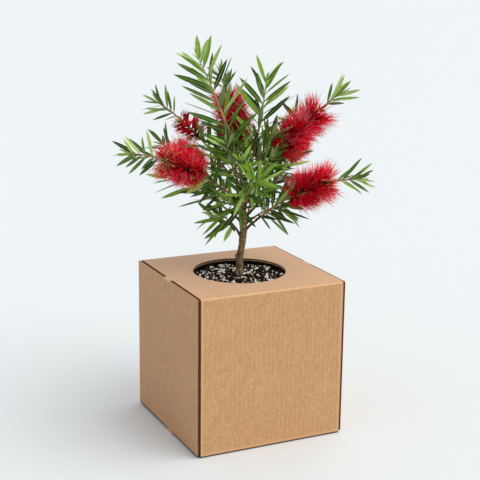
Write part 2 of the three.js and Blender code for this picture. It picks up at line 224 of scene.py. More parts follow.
def patterned(name, colour, roughness, **sockets):
    """A plain material, its tree, and the place on the object that a pattern starts from."""
    material = principled(name, colour, roughness, **sockets)
    tree = material.node_tree
    return material, tree, wire(tree, "ShaderNodeTexCoord").outputs["Object"]


def put_on(tree, tone, height, strength, distance):
    """Joins a pattern's colour and its relief to the shader."""
    shader = tree.nodes["Principled BSDF"]
    bump = wire(tree, "ShaderNodeBump", Strength=strength, Distance=distance, Height=height)
    tree.links.new(tone, shader.inputs["Base Color"])
    tree.links.new(bump.outputs[0], shader.inputs["Normal"])


print("patterns can be made and put on")

# %% [markdown]
# ## The carton's sizes
# The carton is a wrap that runs front, lid, back and floor, and two side panels that close it. All sizes
# are in millimetres, and they stand together here before anything is made of them. They follow the solids,
# with two small changes for the finished look: the left panel stands out a little further than the right
# one, and the low folds are tighter.

# %% The carton's sizes
DEPTH, TALL = 195.0, 200.0
HALF = 95.2  # half the wrap's width
INNER, OUTER = 95.5, {-1: 99.6, 1: 98.5}  # the side panels' faces: the left one stands out further
BOARD, LINER, CORE = 3.0, 0.36, 0.28  # thickness of the board, of each flat liner and of the wavy core
FLUTE = 6.4  # from crest to crest
FOLD, LOW_FOLD, CORNER, TIGHTEST = 3.6, 1.4, 3.0, 0.6  # radii of the bends
WINDOW = 59.0  # radius of the hole in the lid
TAB = {"half": 9.0, "lift": 2.0, "foot": -9.0, "gap": 0.3}
print("carton:", 2 * OUTER[1], "x", DEPTH, "x", TALL, "mm")

# %% [markdown]
# ## Kraft board
# Kraft paper is brown pulp pressed flat. Close to, it shows fine fibres that lie one way, small darker
# flecks, and a faint washboard where the paper sinks between the flutes. Noise that is stretched along one
# axis makes fibres, and a wave across the other makes the washboard. Light and shade are painted on top: a
# brighter, warmer lid, painted highlights on the lid's folds, at the cut edges and above the foot, and
# painted shade along the feet.

# %% Painted light and shade on the board
# Each pair holds the distances, in metres, between which a mark fades in.
# The lid and the distances below place painted light: a brighter, warmer lid, painted highlights on the
# lid's folds, at the cut edges and above the foot, and painted shade along the feet.
LID, FRONT_FOLD, EDGE_HIGHLIGHT = (0.1975, 0.1992), (0.0955, 0.0967), (0.0915, 0.0945)
FOOT_HIGHLIGHT, WRAP_FOOT_SHADE = (0.0070, 0.0035), (0.0027, 0.0019)
SIDE_FOOT_SHADE, OFF_TAB = (0.0040, 0.0032), (0.0086, 0.0094)
LID_PAINTED_LIGHT, FOLD_HIGHLIGHT = (1.11, 1.07, 0.93, 1), (0.93, 0.64, 0.40)  # painted light on the lid, multiplied in, and a painted highlight on its folds, mixed in
HIGHLIGHT_FACTOR, SHADED, SHADE_DEPTH = 1.22, 0.2, 0.14  # factors on the board's own colour: a painted highlight, and painted shade on the sides and the wrap


def wrap_painted_light(tree, tinted, tone, x, y, z):
    """Painted light on the wrap: a brighter, warmer lid, painted highlights on its folds, cut edges and
    above the foot, and painted shade along the foot.
    """
    lid = ranged(tree, z, *LID)
    fold = maths(tree, "MULTIPLY", lid, ranged(tree, maths(tree, "ABSOLUTE", y), *FRONT_FOLD))
    tone = wire(tree, "ShaderNodeMix", data_type="RGBA", blend_type="MULTIPLY", _0=lid, _6=tone,
                _7=LID_PAINTED_LIGHT).outputs[2]
    tone = blended(tree, ranged(tree, fold, 0.0, 1.0, 0.0, 0.75), tone, FOLD_HIGHLIGHT)
    tone = tinted(ranged(tree, maths(tree, "ABSOLUTE", x), *EDGE_HIGHLIGHT, 0, 0.55), tone, HIGHLIGHT_FACTOR)
    tone = tinted(ranged(tree, z, *FOOT_HIGHLIGHT, 0, 0.6), tone, HIGHLIGHT_FACTOR)
    return tinted(ranged(tree, z, *WRAP_FOOT_SHADE, 0, 0.9), tone, SHADE_DEPTH)


def side_painted_shade(tree, tinted, tone, y, z):
    """Painted shade along the foot of a side panel, but not on the tab it stands on."""
    from_tab = maths(tree, "ABSOLUTE", maths(tree, "SUBTRACT", y, TAB["foot"] * MM))
    foot = ranged(tree, z, *SIDE_FOOT_SHADE, 0, 0.9)
    return tinted(maths(tree, "MULTIPLY", ranged(tree, from_tab, *OFF_TAB), foot), tone, SHADED)


print("marks for the wrap and for the side panels")

# %% Kraft board
BLOTCHES = (  # pattern, where it starts and is full, how much it covers, and how dark or pale it is
    ("streak", 0.50, 0.72, 0.36, 0.74),
    ("streak", 0.50, 0.30, 0.36, 1.24),
    ("cloud", 0.35, 0.65, 0.30, 1.0),
    ("fleck", 0.60, 0.72, 0.4, 0.62),
    ("mottle", 0.50, 0.66, 0.34, 0.74),
    ("mottle", 0.50, 0.34, 0.30, 1.22),
)
GREY_PART = 0.13  # how much of a change goes to all three colours alike


def kraft(name, colour, flutes_along, sheen=0.2, folds=False):
    """Board whose flutes repeat along X or along Y."""
    material, tree, place = patterned(name, colour, 0.8, Specular_IOR_Level=0.3, Sheen_Weight=sheen,
                                      Sheen_Roughness=0.45)

    def tinted(share, tone, factor):
        """Towards a paler or darker board. A pale fibre is also a greyer one."""
        grey = GREY_PART * (factor - 1)
        paint = tuple(min(1, max(0.01, factor * value + grey)) for value in colour)
        return blended(tree, share, tone, paint)

    fibre = speckle(tree, squashed(tree, place, 0.16), 900.0, 3.0, 0.65)
    patterns = {
        "fleck": speckle(tree, place, 900.0, 2.0, 0.6), "mottle": speckle(tree, place, 330.0, 3.0, 0.7),
        "streak": speckle(tree, squashed(tree, place, 0.42), 260.0, 3.0, 0.7),
        "cloud": speckle(tree, place, 26.0, 3.0, 0.6),
    }
    tone = tinted(ranged(tree, fibre, 0.3, 0.7), tuple(0.88 * value for value in colour), 1.10)
    for pattern, start, full, share, factor in BLOTCHES:
        tone = tinted(ranged(tree, patterns[pattern], start, full, 0, share), tone, factor)
    wave = wire(tree, "ShaderNodeTexWave", Vector=place, Scale=math.pi / 10 / (FLUTE * MM), Distortion=1.6,
                Detail=2.0, Detail_Scale=0.6, bands_direction=flutes_along, wave_profile="SIN").outputs[1]
    x, y, z = wire(tree, "ShaderNodeSeparateXYZ", Vector=place).outputs
    ridges = maths(tree, "MULTIPLY", ranged(tree, wave, 0.0, 0.7, 1, 0), ranged(tree, z, *LID, 1.0, 0.15))
    patchy = ranged(tree, patterns["cloud"], 0.36, 0.62, 0.03, 0.30)
    tone = tinted(maths(tree, "MULTIPLY", ridges, patchy), tone, 0.78)
    # The wrap gets painted highlights, a brighter lid and painted shade at its foot; the other boards get
    # painted shade along their foot.
    tone = wrap_painted_light(tree, tinted, tone, x, y, z) if folds else side_painted_shade(tree, tinted, tone, y, z)
    put_on(tree, tone, maths(tree, "MULTIPLY_ADD", ridges, -0.5, fibre), 0.35, 0.0003)
    return material


board_front = kraft("kraft_board", shade(203, 154, 107), "X", sheen=0.55, folds=True)
board_side = kraft("kraft_side", shade(196, 145, 102), "Y")
# Flute paper in two browns: the darker one is partly the paper's own colour and partly painted shade, for
# the inside of the side panels' slots.
slot_shade_paper = kraft("flute_paper_in_shade", shade(132, 84, 42), "X")
cut_paper = kraft("flute_edge", shade(168, 122, 84), "X")
print("kraft paper for the wrap, the sides and the flutes")

# %% [markdown]
# ## The carton's board
# Corrugated board is two flat liners with a wavy sheet glued between them. It could be one thick slab with
# a picture of flutes on its edge, but the edges show here, at the side panels and round the window. So each
# panel is made as the real one is: two thin liners, and a wavy core that stops a little short of the cut.
# The wrap is one strip that runs front, lid, back and floor round four folds.

# %% Shapes for the board
def rounded_rectangle(half, low, high, radius, low_radius, steps=8):
    """Corners of a rounded rectangle, anticlockwise from the lower right."""
    points = []
    for x, y, start in ((half, low, -90), (half, high, 0), (-half, high, 90), (-half, low, 180)):
        bend = low_radius if y == low else radius
        centre_x, centre_y = x - math.copysign(bend, x), y + (bend if y == low else -bend)
        for step in range(steps + 1):
            angle = math.radians(start + 90 * step / steps)
            points.append((centre_x + bend * math.cos(angle), centre_y + bend * math.sin(angle)))
    return points


def sleeve(outer, inner, x_low, x_high):
    """A closed strip between two outlines in the YZ plane, from one X to another."""
    count = len(outer)
    ring = [(x, y, z) for outline, x in ((outer, x_low), (outer, x_high), (inner, x_high), (inner, x_low))
            for y, z in outline]
    faces = []
    for turn in range(4):
        a, b = turn * count, (turn + 1) % 4 * count
        for i in range(count):
            j = (i + 1) % count
            faces.append([a + i, a + j, b + j, b + i])
    return ring, faces


print("outlines and sleeves are ready")

# %% Cutting and joining
def cut_window(made, radius, low, high, points=160):
    """Cuts a round hole through a piece with a Boolean, then applies it."""
    angles = np.linspace(0, 2 * math.pi, points, endpoint=False)
    circle = np.stack([radius * np.cos(angles), radius * np.sin(angles)], 1)
    ends = [np.column_stack([circle, np.full(points, z)]) for z in (low, high)]
    faces = [list(range(points))[::-1], [points + i for i in range(points)]]
    faces += [[i, (i + 1) % points, points + (i + 1) % points, points + i] for i in range(points)]
    cutter = piece("cutter", np.concatenate(ends), faces, [])
    bite = made.modifiers.new("window", "BOOLEAN")
    bite.operation, bite.solver, bite.object = "DIFFERENCE", "EXACT", cutter
    apply_modifiers(made)
    bpy.data.objects.remove(cutter)


def apply_modifiers(made):
    """Turns what the modifiers show into the piece's own mesh, and removes them."""
    graph = bpy.context.evaluated_depsgraph_get()
    mesh = bpy.data.meshes.new_from_object(made.evaluated_get(graph))
    made.modifiers.clear()
    old = made.data
    made.data = mesh
    bpy.data.meshes.remove(old)


def joined(name, pieces):
    """Several pieces as one, with their materials kept."""
    with bpy.context.temp_override(active_object=pieces[0], object=pieces[0], selected_objects=pieces,
                                   selected_editable_objects=pieces):
        bpy.ops.object.join()
    pieces[0].name = pieces[0].data.name = name
    return pieces[0]


print("pieces can be cut and joined")

# %% The wrap's liners
def liner_loop(inset):
    """The wrap's outline, `inset` mm in from its outside."""
    return rounded_rectangle(DEPTH / 2 - inset, inset, TALL - inset, max(FOLD - inset, TIGHTEST),
                             max(LOW_FOLD - inset, TIGHTEST))


wrap_parts = []
for label, inset in (("outer_liner", 0.0), ("inner_liner", BOARD - LINER)):
    vertices, faces = sleeve(liner_loop(inset), liner_loop(inset + LINER), -HALF, HALF)
    liner = piece(label, vertices, faces, [board_front], smooth=False)
    cut_window(liner, WINDOW, TALL - 2 * BOARD, TALL + BOARD)
    wrap_parts.append(liner)
print("the wrap has", len(wrap_parts), "liners")

# %% The wrap's core and tabs
def wavy(distance):
    """How far the core stands off the board's middle, at a distance across the flutes."""
    return (BOARD / 2 - LINER - CORE / 2) * np.sin(2 * math.pi * distance / FLUTE)


def window_core(reach=9.0, setback=0.5, rings=4, points=720):
    """The ring of wavy paper that shows inside the window's cut edge."""
    radii = WINDOW + np.linspace(setback, reach, rings)
    angles = np.linspace(0, 2 * math.pi, points, endpoint=False)
    r, a = np.meshgrid(radii, angles, indexing="ij")
    x, y = r * np.cos(a), r * np.sin(a)
    middle = TALL - BOARD / 2 + wavy(x)
    sheets = [np.stack([x, y, middle + side * CORE / 2], -1).reshape(-1, 3) for side in (1, -1)]
    low, edge, faces = rings * points, (rings - 1) * points, []
    for j in range(points):
        k = (j + 1) % points
        for i in range(rings - 1):
            a0, a1, b0, b1 = i * points + j, i * points + k, (i + 1) * points + j, (i + 1) * points + k
            faces += [[a0, b0, b1, a1], [low + a0, low + a1, low + b1, low + b0]]
        faces += [[j, k, low + k, low + j], [edge + j, low + edge + j, low + edge + k, edge + k]]
    return piece("window_core", np.concatenate(sheets), faces, [cut_paper])


def tab(sign, overlap=0.2, short=0.1, bevel=0.4, bevel_low=0.5):
    """The lid's tab, which lies in the notch of a side panel, with the top of its outer edge cut back."""
    x = sign * np.array([HALF - overlap, OUTER[sign] - short])
    heights = (TALL - BOARD, TALL - bevel_low, TALL)
    corners = [(u - sign * bevel * (w == TALL and abs(u) > HALF), v, w)
               for u in x for v in (-TAB["half"], TAB["half"]) for w in heights]
    faces = [[0, 1, 2, 5, 4, 3], [6, 9, 10, 11, 8, 7], [0, 6, 7, 8, 2, 1], [3, 4, 5, 11, 10, 9],
             [2, 8, 11, 5], [0, 3, 9, 6]]
    faces = [face[::-1] if sign < 0 else face for face in faces]
    return piece("tab", corners, faces, [board_front], smooth=False)


wrap_parts += [window_core(), tab(-1), tab(1)]
wrap = joined("carton_board", wrap_parts)
stands_for(wrap, "kraft_board", "carton_wrap")

# %% [markdown]
# ## The side panels
# Each side panel covers the wrap's cut edges and shows its own raw edge all round: a dark slot between two
# liners, with the flutes inside. The lid's tab lies in a notch at its top, and the panel stands on a short
# tab of its own, which leaves a thin dark gap along the floor. Both are also darkened by painted shade: on
# the flute paper and the liners' inner faces in the slot, and along the panel's foot.

# %% Parts of a side panel
def panel_outline():
    """A side panel's outline in the YZ plane, with the notch at its top and the tab at its foot."""
    points = rounded_rectangle(DEPTH / 2, TAB["lift"], TALL, CORNER, CORNER, 6)
    notch_half, notch_low = TAB["half"] + TAB["gap"], TALL - BOARD - TAB["gap"]
    notch = [(notch_half, TALL), (notch_half, notch_low), (-notch_half, notch_low), (-notch_half, TALL)]
    near, far = TAB["foot"] - TAB["half"], TAB["foot"] + TAB["half"]
    foot = [(near, TAB["lift"]), (near, 0), (far, 0), (far, TAB["lift"])]
    halfway = len(points) // 2
    return points[:halfway] + notch + points[halfway:] + foot


def panel_liner(name, outline, x_low, x_high, slots):
    """A flat sheet of paper. The slots colour its low side, its high side and its cut edge."""
    count = len(outline)
    vertices = [(x, y, z) for x in (x_low, x_high) for y, z in outline]
    faces = [list(range(count))[::-1], [count + i for i in range(count)]]
    faces += [[i, (i + 1) % count, count + (i + 1) % count, count + i] for i in range(count)]
    return piece(name, vertices, faces, [board_side, slot_shade_paper], [slots[0], slots[1]] + [slots[2]] * count,
                 smooth=False)


def panel_core(centre, setback, paper, highest, columns=360):
    """The wavy sheet inside a side panel, which stops short of every cut edge."""
    y = np.linspace(-DEPTH / 2 + setback, DEPTH / 2 - setback, columns)
    off = np.clip((np.abs(y) - (DEPTH / 2 - CORNER)) / CORNER, 0, 1)
    dip = CORNER * (1 - np.sqrt(1 - off**2))
    in_notch = np.abs(y) < TAB["half"] + TAB["gap"]
    top = np.minimum(TALL - dip - np.where(in_notch, BOARD + TAB["gap"], 0) - setback * 0.7, highest)
    on_foot = np.abs(y - TAB["foot"]) < TAB["half"]
    low = TAB["lift"] + dip - np.where(on_foot, TAB["lift"], 0) + setback * 0.7
    outer, inner = centre + wavy(y) + CORE / 2, centre + wavy(y) - CORE / 2
    corners = [(outer, low), (outer, top), (inner, top), (inner, low)]
    vertices = np.concatenate([np.stack([x, y, z], 1) for x, z in corners])
    faces = []
    for i in range(columns - 1):
        for turn in range(4):
            a, b = turn * columns, (turn + 1) % 4 * columns
            faces.append([a + i, a + i + 1, b + i + 1, b + i])
    faces += [[k * columns for k in range(4)], [k * columns + columns - 1 for k in (3, 2, 1, 0)]]
    return piece("panel_core", vertices, faces, [paper])


print("parts of a side panel are ready")

# %% The side panels
PAPER, DARK = 0, 1  # the slots of a liner: plain board, and painted shade on faces inside the slot
CRUSHED = 3.4  # mm at the top of the right panel, where the flutes are pressed shut
for side_name, sign in (("left", -1), ("right", 1)):
    outer, inner = sign * OUTER[sign], sign * INNER
    centre = (outer + inner) / 2
    # Liner faces that look into the slot, and the left inner liner's cut edge, get painted shade.
    outside_low, outside_high = (PAPER, DARK) if sign < 0 else (DARK, PAPER)
    sheets = []
    for start, end, low_slot, high_slot, edge_slot in (
        (outer, outer - sign * LINER, outside_low, outside_high, PAPER),
        (inner + sign * LINER, inner, outside_high, outside_low, DARK if sign < 0 else PAPER),
    ):
        sheets.append(panel_liner("liner", panel_outline(), min(start, end), max(start, end),
                                  (low_slot, high_slot, edge_slot)))
    if sign < 0:
        sheets.append(panel_core(centre, 1.2, slot_shade_paper, TALL))
    else:
        sheets.append(panel_core(centre, 0.4, cut_paper, TALL - CRUSHED - 0.3))
        low, high = TALL - CRUSHED, TALL - 0.2
        for near, far in ((-DEPTH / 2 + CORNER, -TAB["half"] - 1), (TAB["half"] + 1, DEPTH / 2 - CORNER)):
            pressed = [(near, low), (far, low), (far, high), (near, high)]
            sheets.append(panel_liner("crushed_edge", pressed, inner + LINER, outer - LINER, (PAPER,) * 3))
    panel = joined("side_panel_" + side_name, sheets)
    stands_for(panel, "kraft_board", "carton_side_" + side_name)

# %% [markdown]
# ## The nursery pot
# A nursery pot is thin black plastic, tapered so that pots stack, with a rolled lip. Most of it stays
# hidden under the lid. It could be a stack of cylinders, but a profile that is turned round the upright
# axis gives the taper, the lip and the wall in one closed shape.

# %% The pot's plastic and shape
POT_FOOT, POT_RIM = 3.3, 196.7  # mm above the floor
POT = {"base": 50.0, "top": 62.0, "lip": 65.0, "wall": 1.6, "lip_height": 9.0, "floor": 2.0}


def pot_radius(z):
    """The pot's outer radius at a height, below its lip."""
    return POT["base"] + (POT["top"] - POT["base"]) * (z - POT_FOOT) / (POT_RIM - POT_FOOT)


def lathe(profile, points):
    """Turns a profile of (radius, height) round the Z axis. It starts and ends on the axis."""
    angles = np.linspace(0, 2 * math.pi, points, endpoint=False)
    inner = np.array(profile[1:-1])
    rings = np.stack([inner[:, :1] * np.cos(angles), inner[:, :1] * np.sin(angles),
                      np.repeat(inner[:, 1:], points, 1)], -1).reshape(-1, 3)
    vertices = np.concatenate([rings, [[0, 0, profile[0][1]], [0, 0, profile[-1][1]]]])
    first, last = len(rings), len(rings) + 1
    faces = []
    for j in range(points):
        k = (j + 1) % points
        faces.append([first, k, j])
        faces.append([last, (len(inner) - 1) * points + j, (len(inner) - 1) * points + k])
        for i in range(len(inner) - 1):
            faces.append([i * points + j, i * points + k, (i + 1) * points + k, (i + 1) * points + j])
    return vertices, faces


def pot_plastic():
    """Black plastic with a little brown dust on it."""
    material, tree, place = patterned("black_plastic", (0.004, 0.004, 0.004), 0.6, Specular_IOR_Level=0.12)
    dust = speckle(tree, place, 120.0, 4.0, 0.7)
    rough = ranged(tree, dust, 0.3, 0.7, 0.5, 0.7)
    tree.links.new(rough, tree.nodes["Principled BSDF"].inputs["Roughness"])
    dusty = ranged(tree, dust, 0.5, 0.75, 0, 0.5)
    tone = blended(tree, dusty, (0.003, 0.003, 0.003), (0.012, 0.009, 0.007))
    put_on(tree, tone, speckle(tree, place, 1500.0, 1.0), 0.15, 0.0001)
    return material


print("the pot widens from", POT["base"], "to", POT["top"], "mm in radius")

# %% The pot
lip_foot = POT_RIM - POT["lip_height"]
inside = POT_FOOT + POT["floor"]
base, top, lip, wall = (POT[key] for key in ("base", "top", "lip", "wall"))
pot_profile = [  # up the outside, over the lip and down the inside, with small steps that round the corners
    (0, POT_FOOT), (base - 1.5, POT_FOOT), (base - 0.4, POT_FOOT + 0.5), (base, POT_FOOT + 2),
    (pot_radius(lip_foot - 3), lip_foot - 3), (lip - 0.6, lip_foot), (lip, lip_foot + 0.6),
    (lip + 0.3, POT_RIM - 1.4), (lip - 0.1, POT_RIM - 0.4), (lip - 1.0, POT_RIM),
    (top - 0.8, POT_RIM), (top - 1.5, POT_RIM - 0.5), (pot_radius(POT_RIM - 3) - wall, POT_RIM - 3),
    (pot_radius(inside + 3) - wall, inside + 3), (base - wall - 2.5, inside), (0, inside),
]
vertices, faces = lathe(pot_profile, 96)
pot = piece("nursery_pot", vertices, faces, [pot_plastic()])
pot.data.set_sharp_from_angle(angle=math.radians(50))
stands_for(pot, "black_plastic", "pot")

# %% [markdown]
# ## The potting mix
# Potting mix is crumbly: dark peat and bark, with white perlite worked through it. The bulk is one closed
# body whose top is lifted and dented by noise. The crumbs on it are scattered by Geometry Nodes, because
# they repeat by the thousand and no one cares where each lies. Each kind gets a density, a size and how
# flat it is.

# %% The bulk of the mix
MIX_TOP = 192.0  # mm above the floor
MIX = {"edge": 59.6, "low": 8.0, "rings": 34, "points": 120, "dome": 0.4, "lumps": 1.3, "sunk": 0.6}
COARSE, FINE = (0.13, 2.0), (0.35, 7.0)  # lumps for each mm, and the layer of the noise that they come from


def mix_height(x, y):
    """The height of the mix's surface: a low dome with lumps in it."""
    share = math.hypot(x, y) / MIX["edge"]
    coarse, fine = (noise.noise((scale * x, scale * y, layer)) for scale, layer in (COARSE, FINE))
    return MIX_TOP - MIX["dome"] * share**2 + MIX["lumps"] * (coarse + 0.6 * fine) - MIX["sunk"]


def ring_walls(rings, points):
    """Quads between rings of points that are numbered ring by ring, from the inside out."""
    here = [(i * points + j, i * points + (j + 1) % points) for i in range(rings) for j in range(points)]
    return [[a, a + points, b + points, b] for a, b in here]


def mix_body():
    """The bulk: rings that lie closest at the edge, one near the pot's floor, and a point at each end."""
    angles = np.linspace(0, 2 * math.pi, MIX["points"], endpoint=False)
    points, rings = MIX["points"], MIX["rings"]
    vertices = []
    for i in range(1, rings + 1):
        radius = MIX["edge"] * (i / rings) ** 0.8
        for angle in angles:
            x, y = radius * math.cos(angle), radius * math.sin(angle)
            vertices.append((x, y, mix_height(x, y)))
    low_radius = pot_radius(MIX["low"]) - POT["wall"] - 0.4
    vertices += [(low_radius * math.cos(a), low_radius * math.sin(a), MIX["low"]) for a in angles]
    vertices += [(0, 0, mix_height(0, 0)), (0, 0, MIX["low"])]
    top, bottom = len(vertices) - 2, len(vertices) - 1
    faces = ring_walls(rings, points)
    for j in range(points):
        k = (j + 1) % points
        faces += [[top, j, k], [bottom, rings * points + k, rings * points + j]]
    return vertices, faces


def earth(name, dark, pale, scale, roughness=0.95):
    """A crumbly material: two colours mixed by noise, with a rough surface."""
    material, tree, place = patterned(name, dark, roughness, Specular_IOR_Level=0.15)
    grain = speckle(tree, place, scale, 4.0, 0.65)
    put_on(tree, blended(tree, ranged(tree, grain, 0.35, 0.68), dark, pale), grain, 0.6, 0.0006)
    return material


peat = earth("peat", (0.003, 0.002, 0.0015), (0.016, 0.009, 0.007), 420.0)
bark_chip = earth("bark_chips", (0.008, 0.004, 0.003), (0.090, 0.048, 0.034), 260.0)
perlite_stone = earth("perlite", (0.96, 0.89, 0.74), (1.0, 0.98, 0.88), 500.0, 0.9)

vertices, faces = mix_body()
bulk = piece("potting_mix_bulk", vertices, faces, [peat])
stands_for(bulk, "potting_mix", "potting_mix")

# %% A node tree that scatters crumbs
CRUMB_INPUTS = {
    "Surface": "Geometry", "Per Square Metre": "Float", "Smallest": "Float", "Largest": "Float",
    "Flatness": "Float", "Roughness": "Float", "Lift": "Float", "Patchiness": "Float", "Seed": "Int",
    "Material": "Material",
}


def lumps_on_points(tree, given, where):
    """Lumps in patches over the surface, each turned and sized by random values of its own."""
    patch = ranged(tree, speckle(tree, where, 75.0, 2.0), 0.40, 0.60)
    bare = maths(tree, "SUBTRACT", 1.0, given["Patchiness"])
    cover = maths(tree, "MULTIPLY_ADD", patch, given["Patchiness"], bare)
    dense = maths(tree, "MULTIPLY", given["Per Square Metre"], cover)
    scatter = wire(tree, "GeometryNodeDistributePointsOnFaces", Mesh=given["Surface"], Density=dense,
                   Seed=given["Seed"])
    seeds = [maths(tree, "ADD", given["Seed"], number) for number in (1.0, 2.0, 3.0)]
    whirl = wire(tree, "FunctionNodeRandomValue", data_type="FLOAT_VECTOR", _1=(2 * math.pi,) * 3,
                 Seed=seeds[0])
    size = wire(tree, "FunctionNodeRandomValue", data_type="FLOAT", Seed=seeds[1])
    long_side = wire(tree, "FunctionNodeRandomValue", data_type="FLOAT", _2=0.65, _3=1.25, Seed=seeds[2])
    few_large = maths(tree, "POWER", size.outputs[1], 1.6)
    reach = ranged(tree, few_large, 0.0, 1.0, given["Smallest"], given["Largest"])
    shape = wire(tree, "ShaderNodeCombineXYZ", X=1.0, Y=long_side.outputs[1], Z=given["Flatness"])
    scaled = wire(tree, "ShaderNodeVectorMath", operation="SCALE", _0=shape.outputs[0], Scale=reach)
    lump = wire(tree, "GeometryNodeMeshIcoSphere", Radius=0.5, Subdivisions=2)
    placed = wire(tree, "GeometryNodeInstanceOnPoints", Points=scatter.outputs["Points"],
                  Instance=lump.outputs["Mesh"], Rotation=whirl.outputs[0], Scale=scaled.outputs[0])
    return wire(tree, "GeometryNodeRealizeInstances", _0=placed.outputs[0]).outputs[0]


def crumb_tree():
    """Scatters lumps over a surface and makes them craggy. Every size is an input of the tree."""
    tree = bpy.data.node_groups.new("scatter_crumbs", "GeometryNodeTree")
    for name, kind in CRUMB_INPUTS.items():
        tree.interface.new_socket(name, in_out="INPUT", socket_type="NodeSocket" + kind)
    tree.interface.new_socket("Crumbs", in_out="OUTPUT", socket_type="NodeSocketGeometry")
    given = tree.nodes.new("NodeGroupInput").outputs
    where = wire(tree, "GeometryNodeInputPosition").outputs[0]
    lumps = lumps_on_points(tree, given, where)

    rock = wire(tree, "ShaderNodeTexNoise", Vector=where, Scale=620.0, Detail=1.0).outputs["Color"]
    centred = wire(tree, "ShaderNodeVectorMath", operation="SUBTRACT", _0=rock, _1=(0.5, 0.5, 0.5))
    push = wire(tree, "ShaderNodeVectorMath", operation="SCALE", _0=centred.outputs[0],
                Scale=given["Roughness"])
    rise = wire(tree, "ShaderNodeCombineXYZ", Z=given["Lift"])
    moved = wire(tree, "ShaderNodeVectorMath", operation="ADD", _0=push.outputs[0], _1=rise.outputs[0])
    craggy = wire(tree, "GeometryNodeSetPosition", Geometry=lumps, Offset=moved.outputs[0])
    faceted = wire(tree, "GeometryNodeSetShadeSmooth", _0=craggy.outputs[0], Shade_Smooth=False)
    painted = wire(tree, "GeometryNodeSetMaterial", Geometry=faceted.outputs[0], Material=given["Material"])
    tree.links.new(painted.outputs[0], tree.nodes.new("NodeGroupOutput").inputs["Crumbs"])
    return tree


crumbs = crumb_tree()
print("the crumb tree has", len(crumbs.nodes), "nodes and", len(CRUMB_INPUTS), "inputs")

# %% Crumbs on the mix
CRUMB_RING = {"inner": 8.0, "outer": 57.0, "rings": 16, "points": 90}  # in mm, trunk to pot wall


def scatter_crumbs(name, tree, material, **values):
    """Scatters crumbs over the mix and keeps them as a plain mesh. The keywords are inputs of the tree."""
    points, rings, inner = CRUMB_RING["points"], CRUMB_RING["rings"], CRUMB_RING["inner"]
    vertices = []
    for i in range(rings + 1):
        radius = inner + (CRUMB_RING["outer"] - inner) * i / rings
        for j in range(points):
            angle = 2 * math.pi * j / points
            x, y = radius * math.cos(angle), radius * math.sin(angle)
            vertices.append((x, y, mix_height(x, y)))
    made = piece(name, vertices, ring_walls(rings, points), [])
    grow = made.modifiers.new("crumbs", "NODES")
    grow.node_group = tree
    ids = {item.name: item.identifier for item in tree.interface.items_tree if item.in_out == "INPUT"}
    for key, value in {**values, "Material": material}.items():
        grow[ids[key.replace("_", " ")]] = value
    apply_modifiers(made)
    return made


KINDS = {  # densities by the square metre, sizes in metres
    "peat_crumbs": (peat, dict(Per_Square_Metre=150000.0, Smallest=0.0014, Largest=0.0042, Flatness=0.8,
                               Roughness=0.0016, Lift=0.0001, Patchiness=0.0, Seed=3)),
    "bark_chips": (bark_chip, dict(Per_Square_Metre=60000.0, Smallest=0.0022, Largest=0.0068, Flatness=0.4,
                                   Roughness=0.0020, Lift=0.0006, Patchiness=0.3, Seed=11)),
    "perlite_bits": (perlite_stone, dict(Per_Square_Metre=52000.0, Smallest=0.0010, Largest=0.0044,
                                         Flatness=0.85, Roughness=0.0020, Lift=0.0014, Patchiness=0.8,
                                         Seed=23)),
}
for name, (material, values) in KINDS.items():
    stands_for(scatter_crumbs(name, crumbs, material, **values), "potting_mix")

# %% [markdown]
# ## Lines that the wood follows
# The plant grows by a short rule, the same that made the CAD solids. Each shoot is a bent line from a
# height on the trunk to its tip. A seeded run of numbers deals out the leaves, so the same seed always
# grows the same plant. Repeating the rule here keeps every leaf where its solid stands.

# %% The shoots
FOOT = (6.0, 11.0)  # where the trunk leaves the mix, in mm
GAP = 0.3  # mm between a solid and the next one
TRUNK_HEIGHT = 128.0
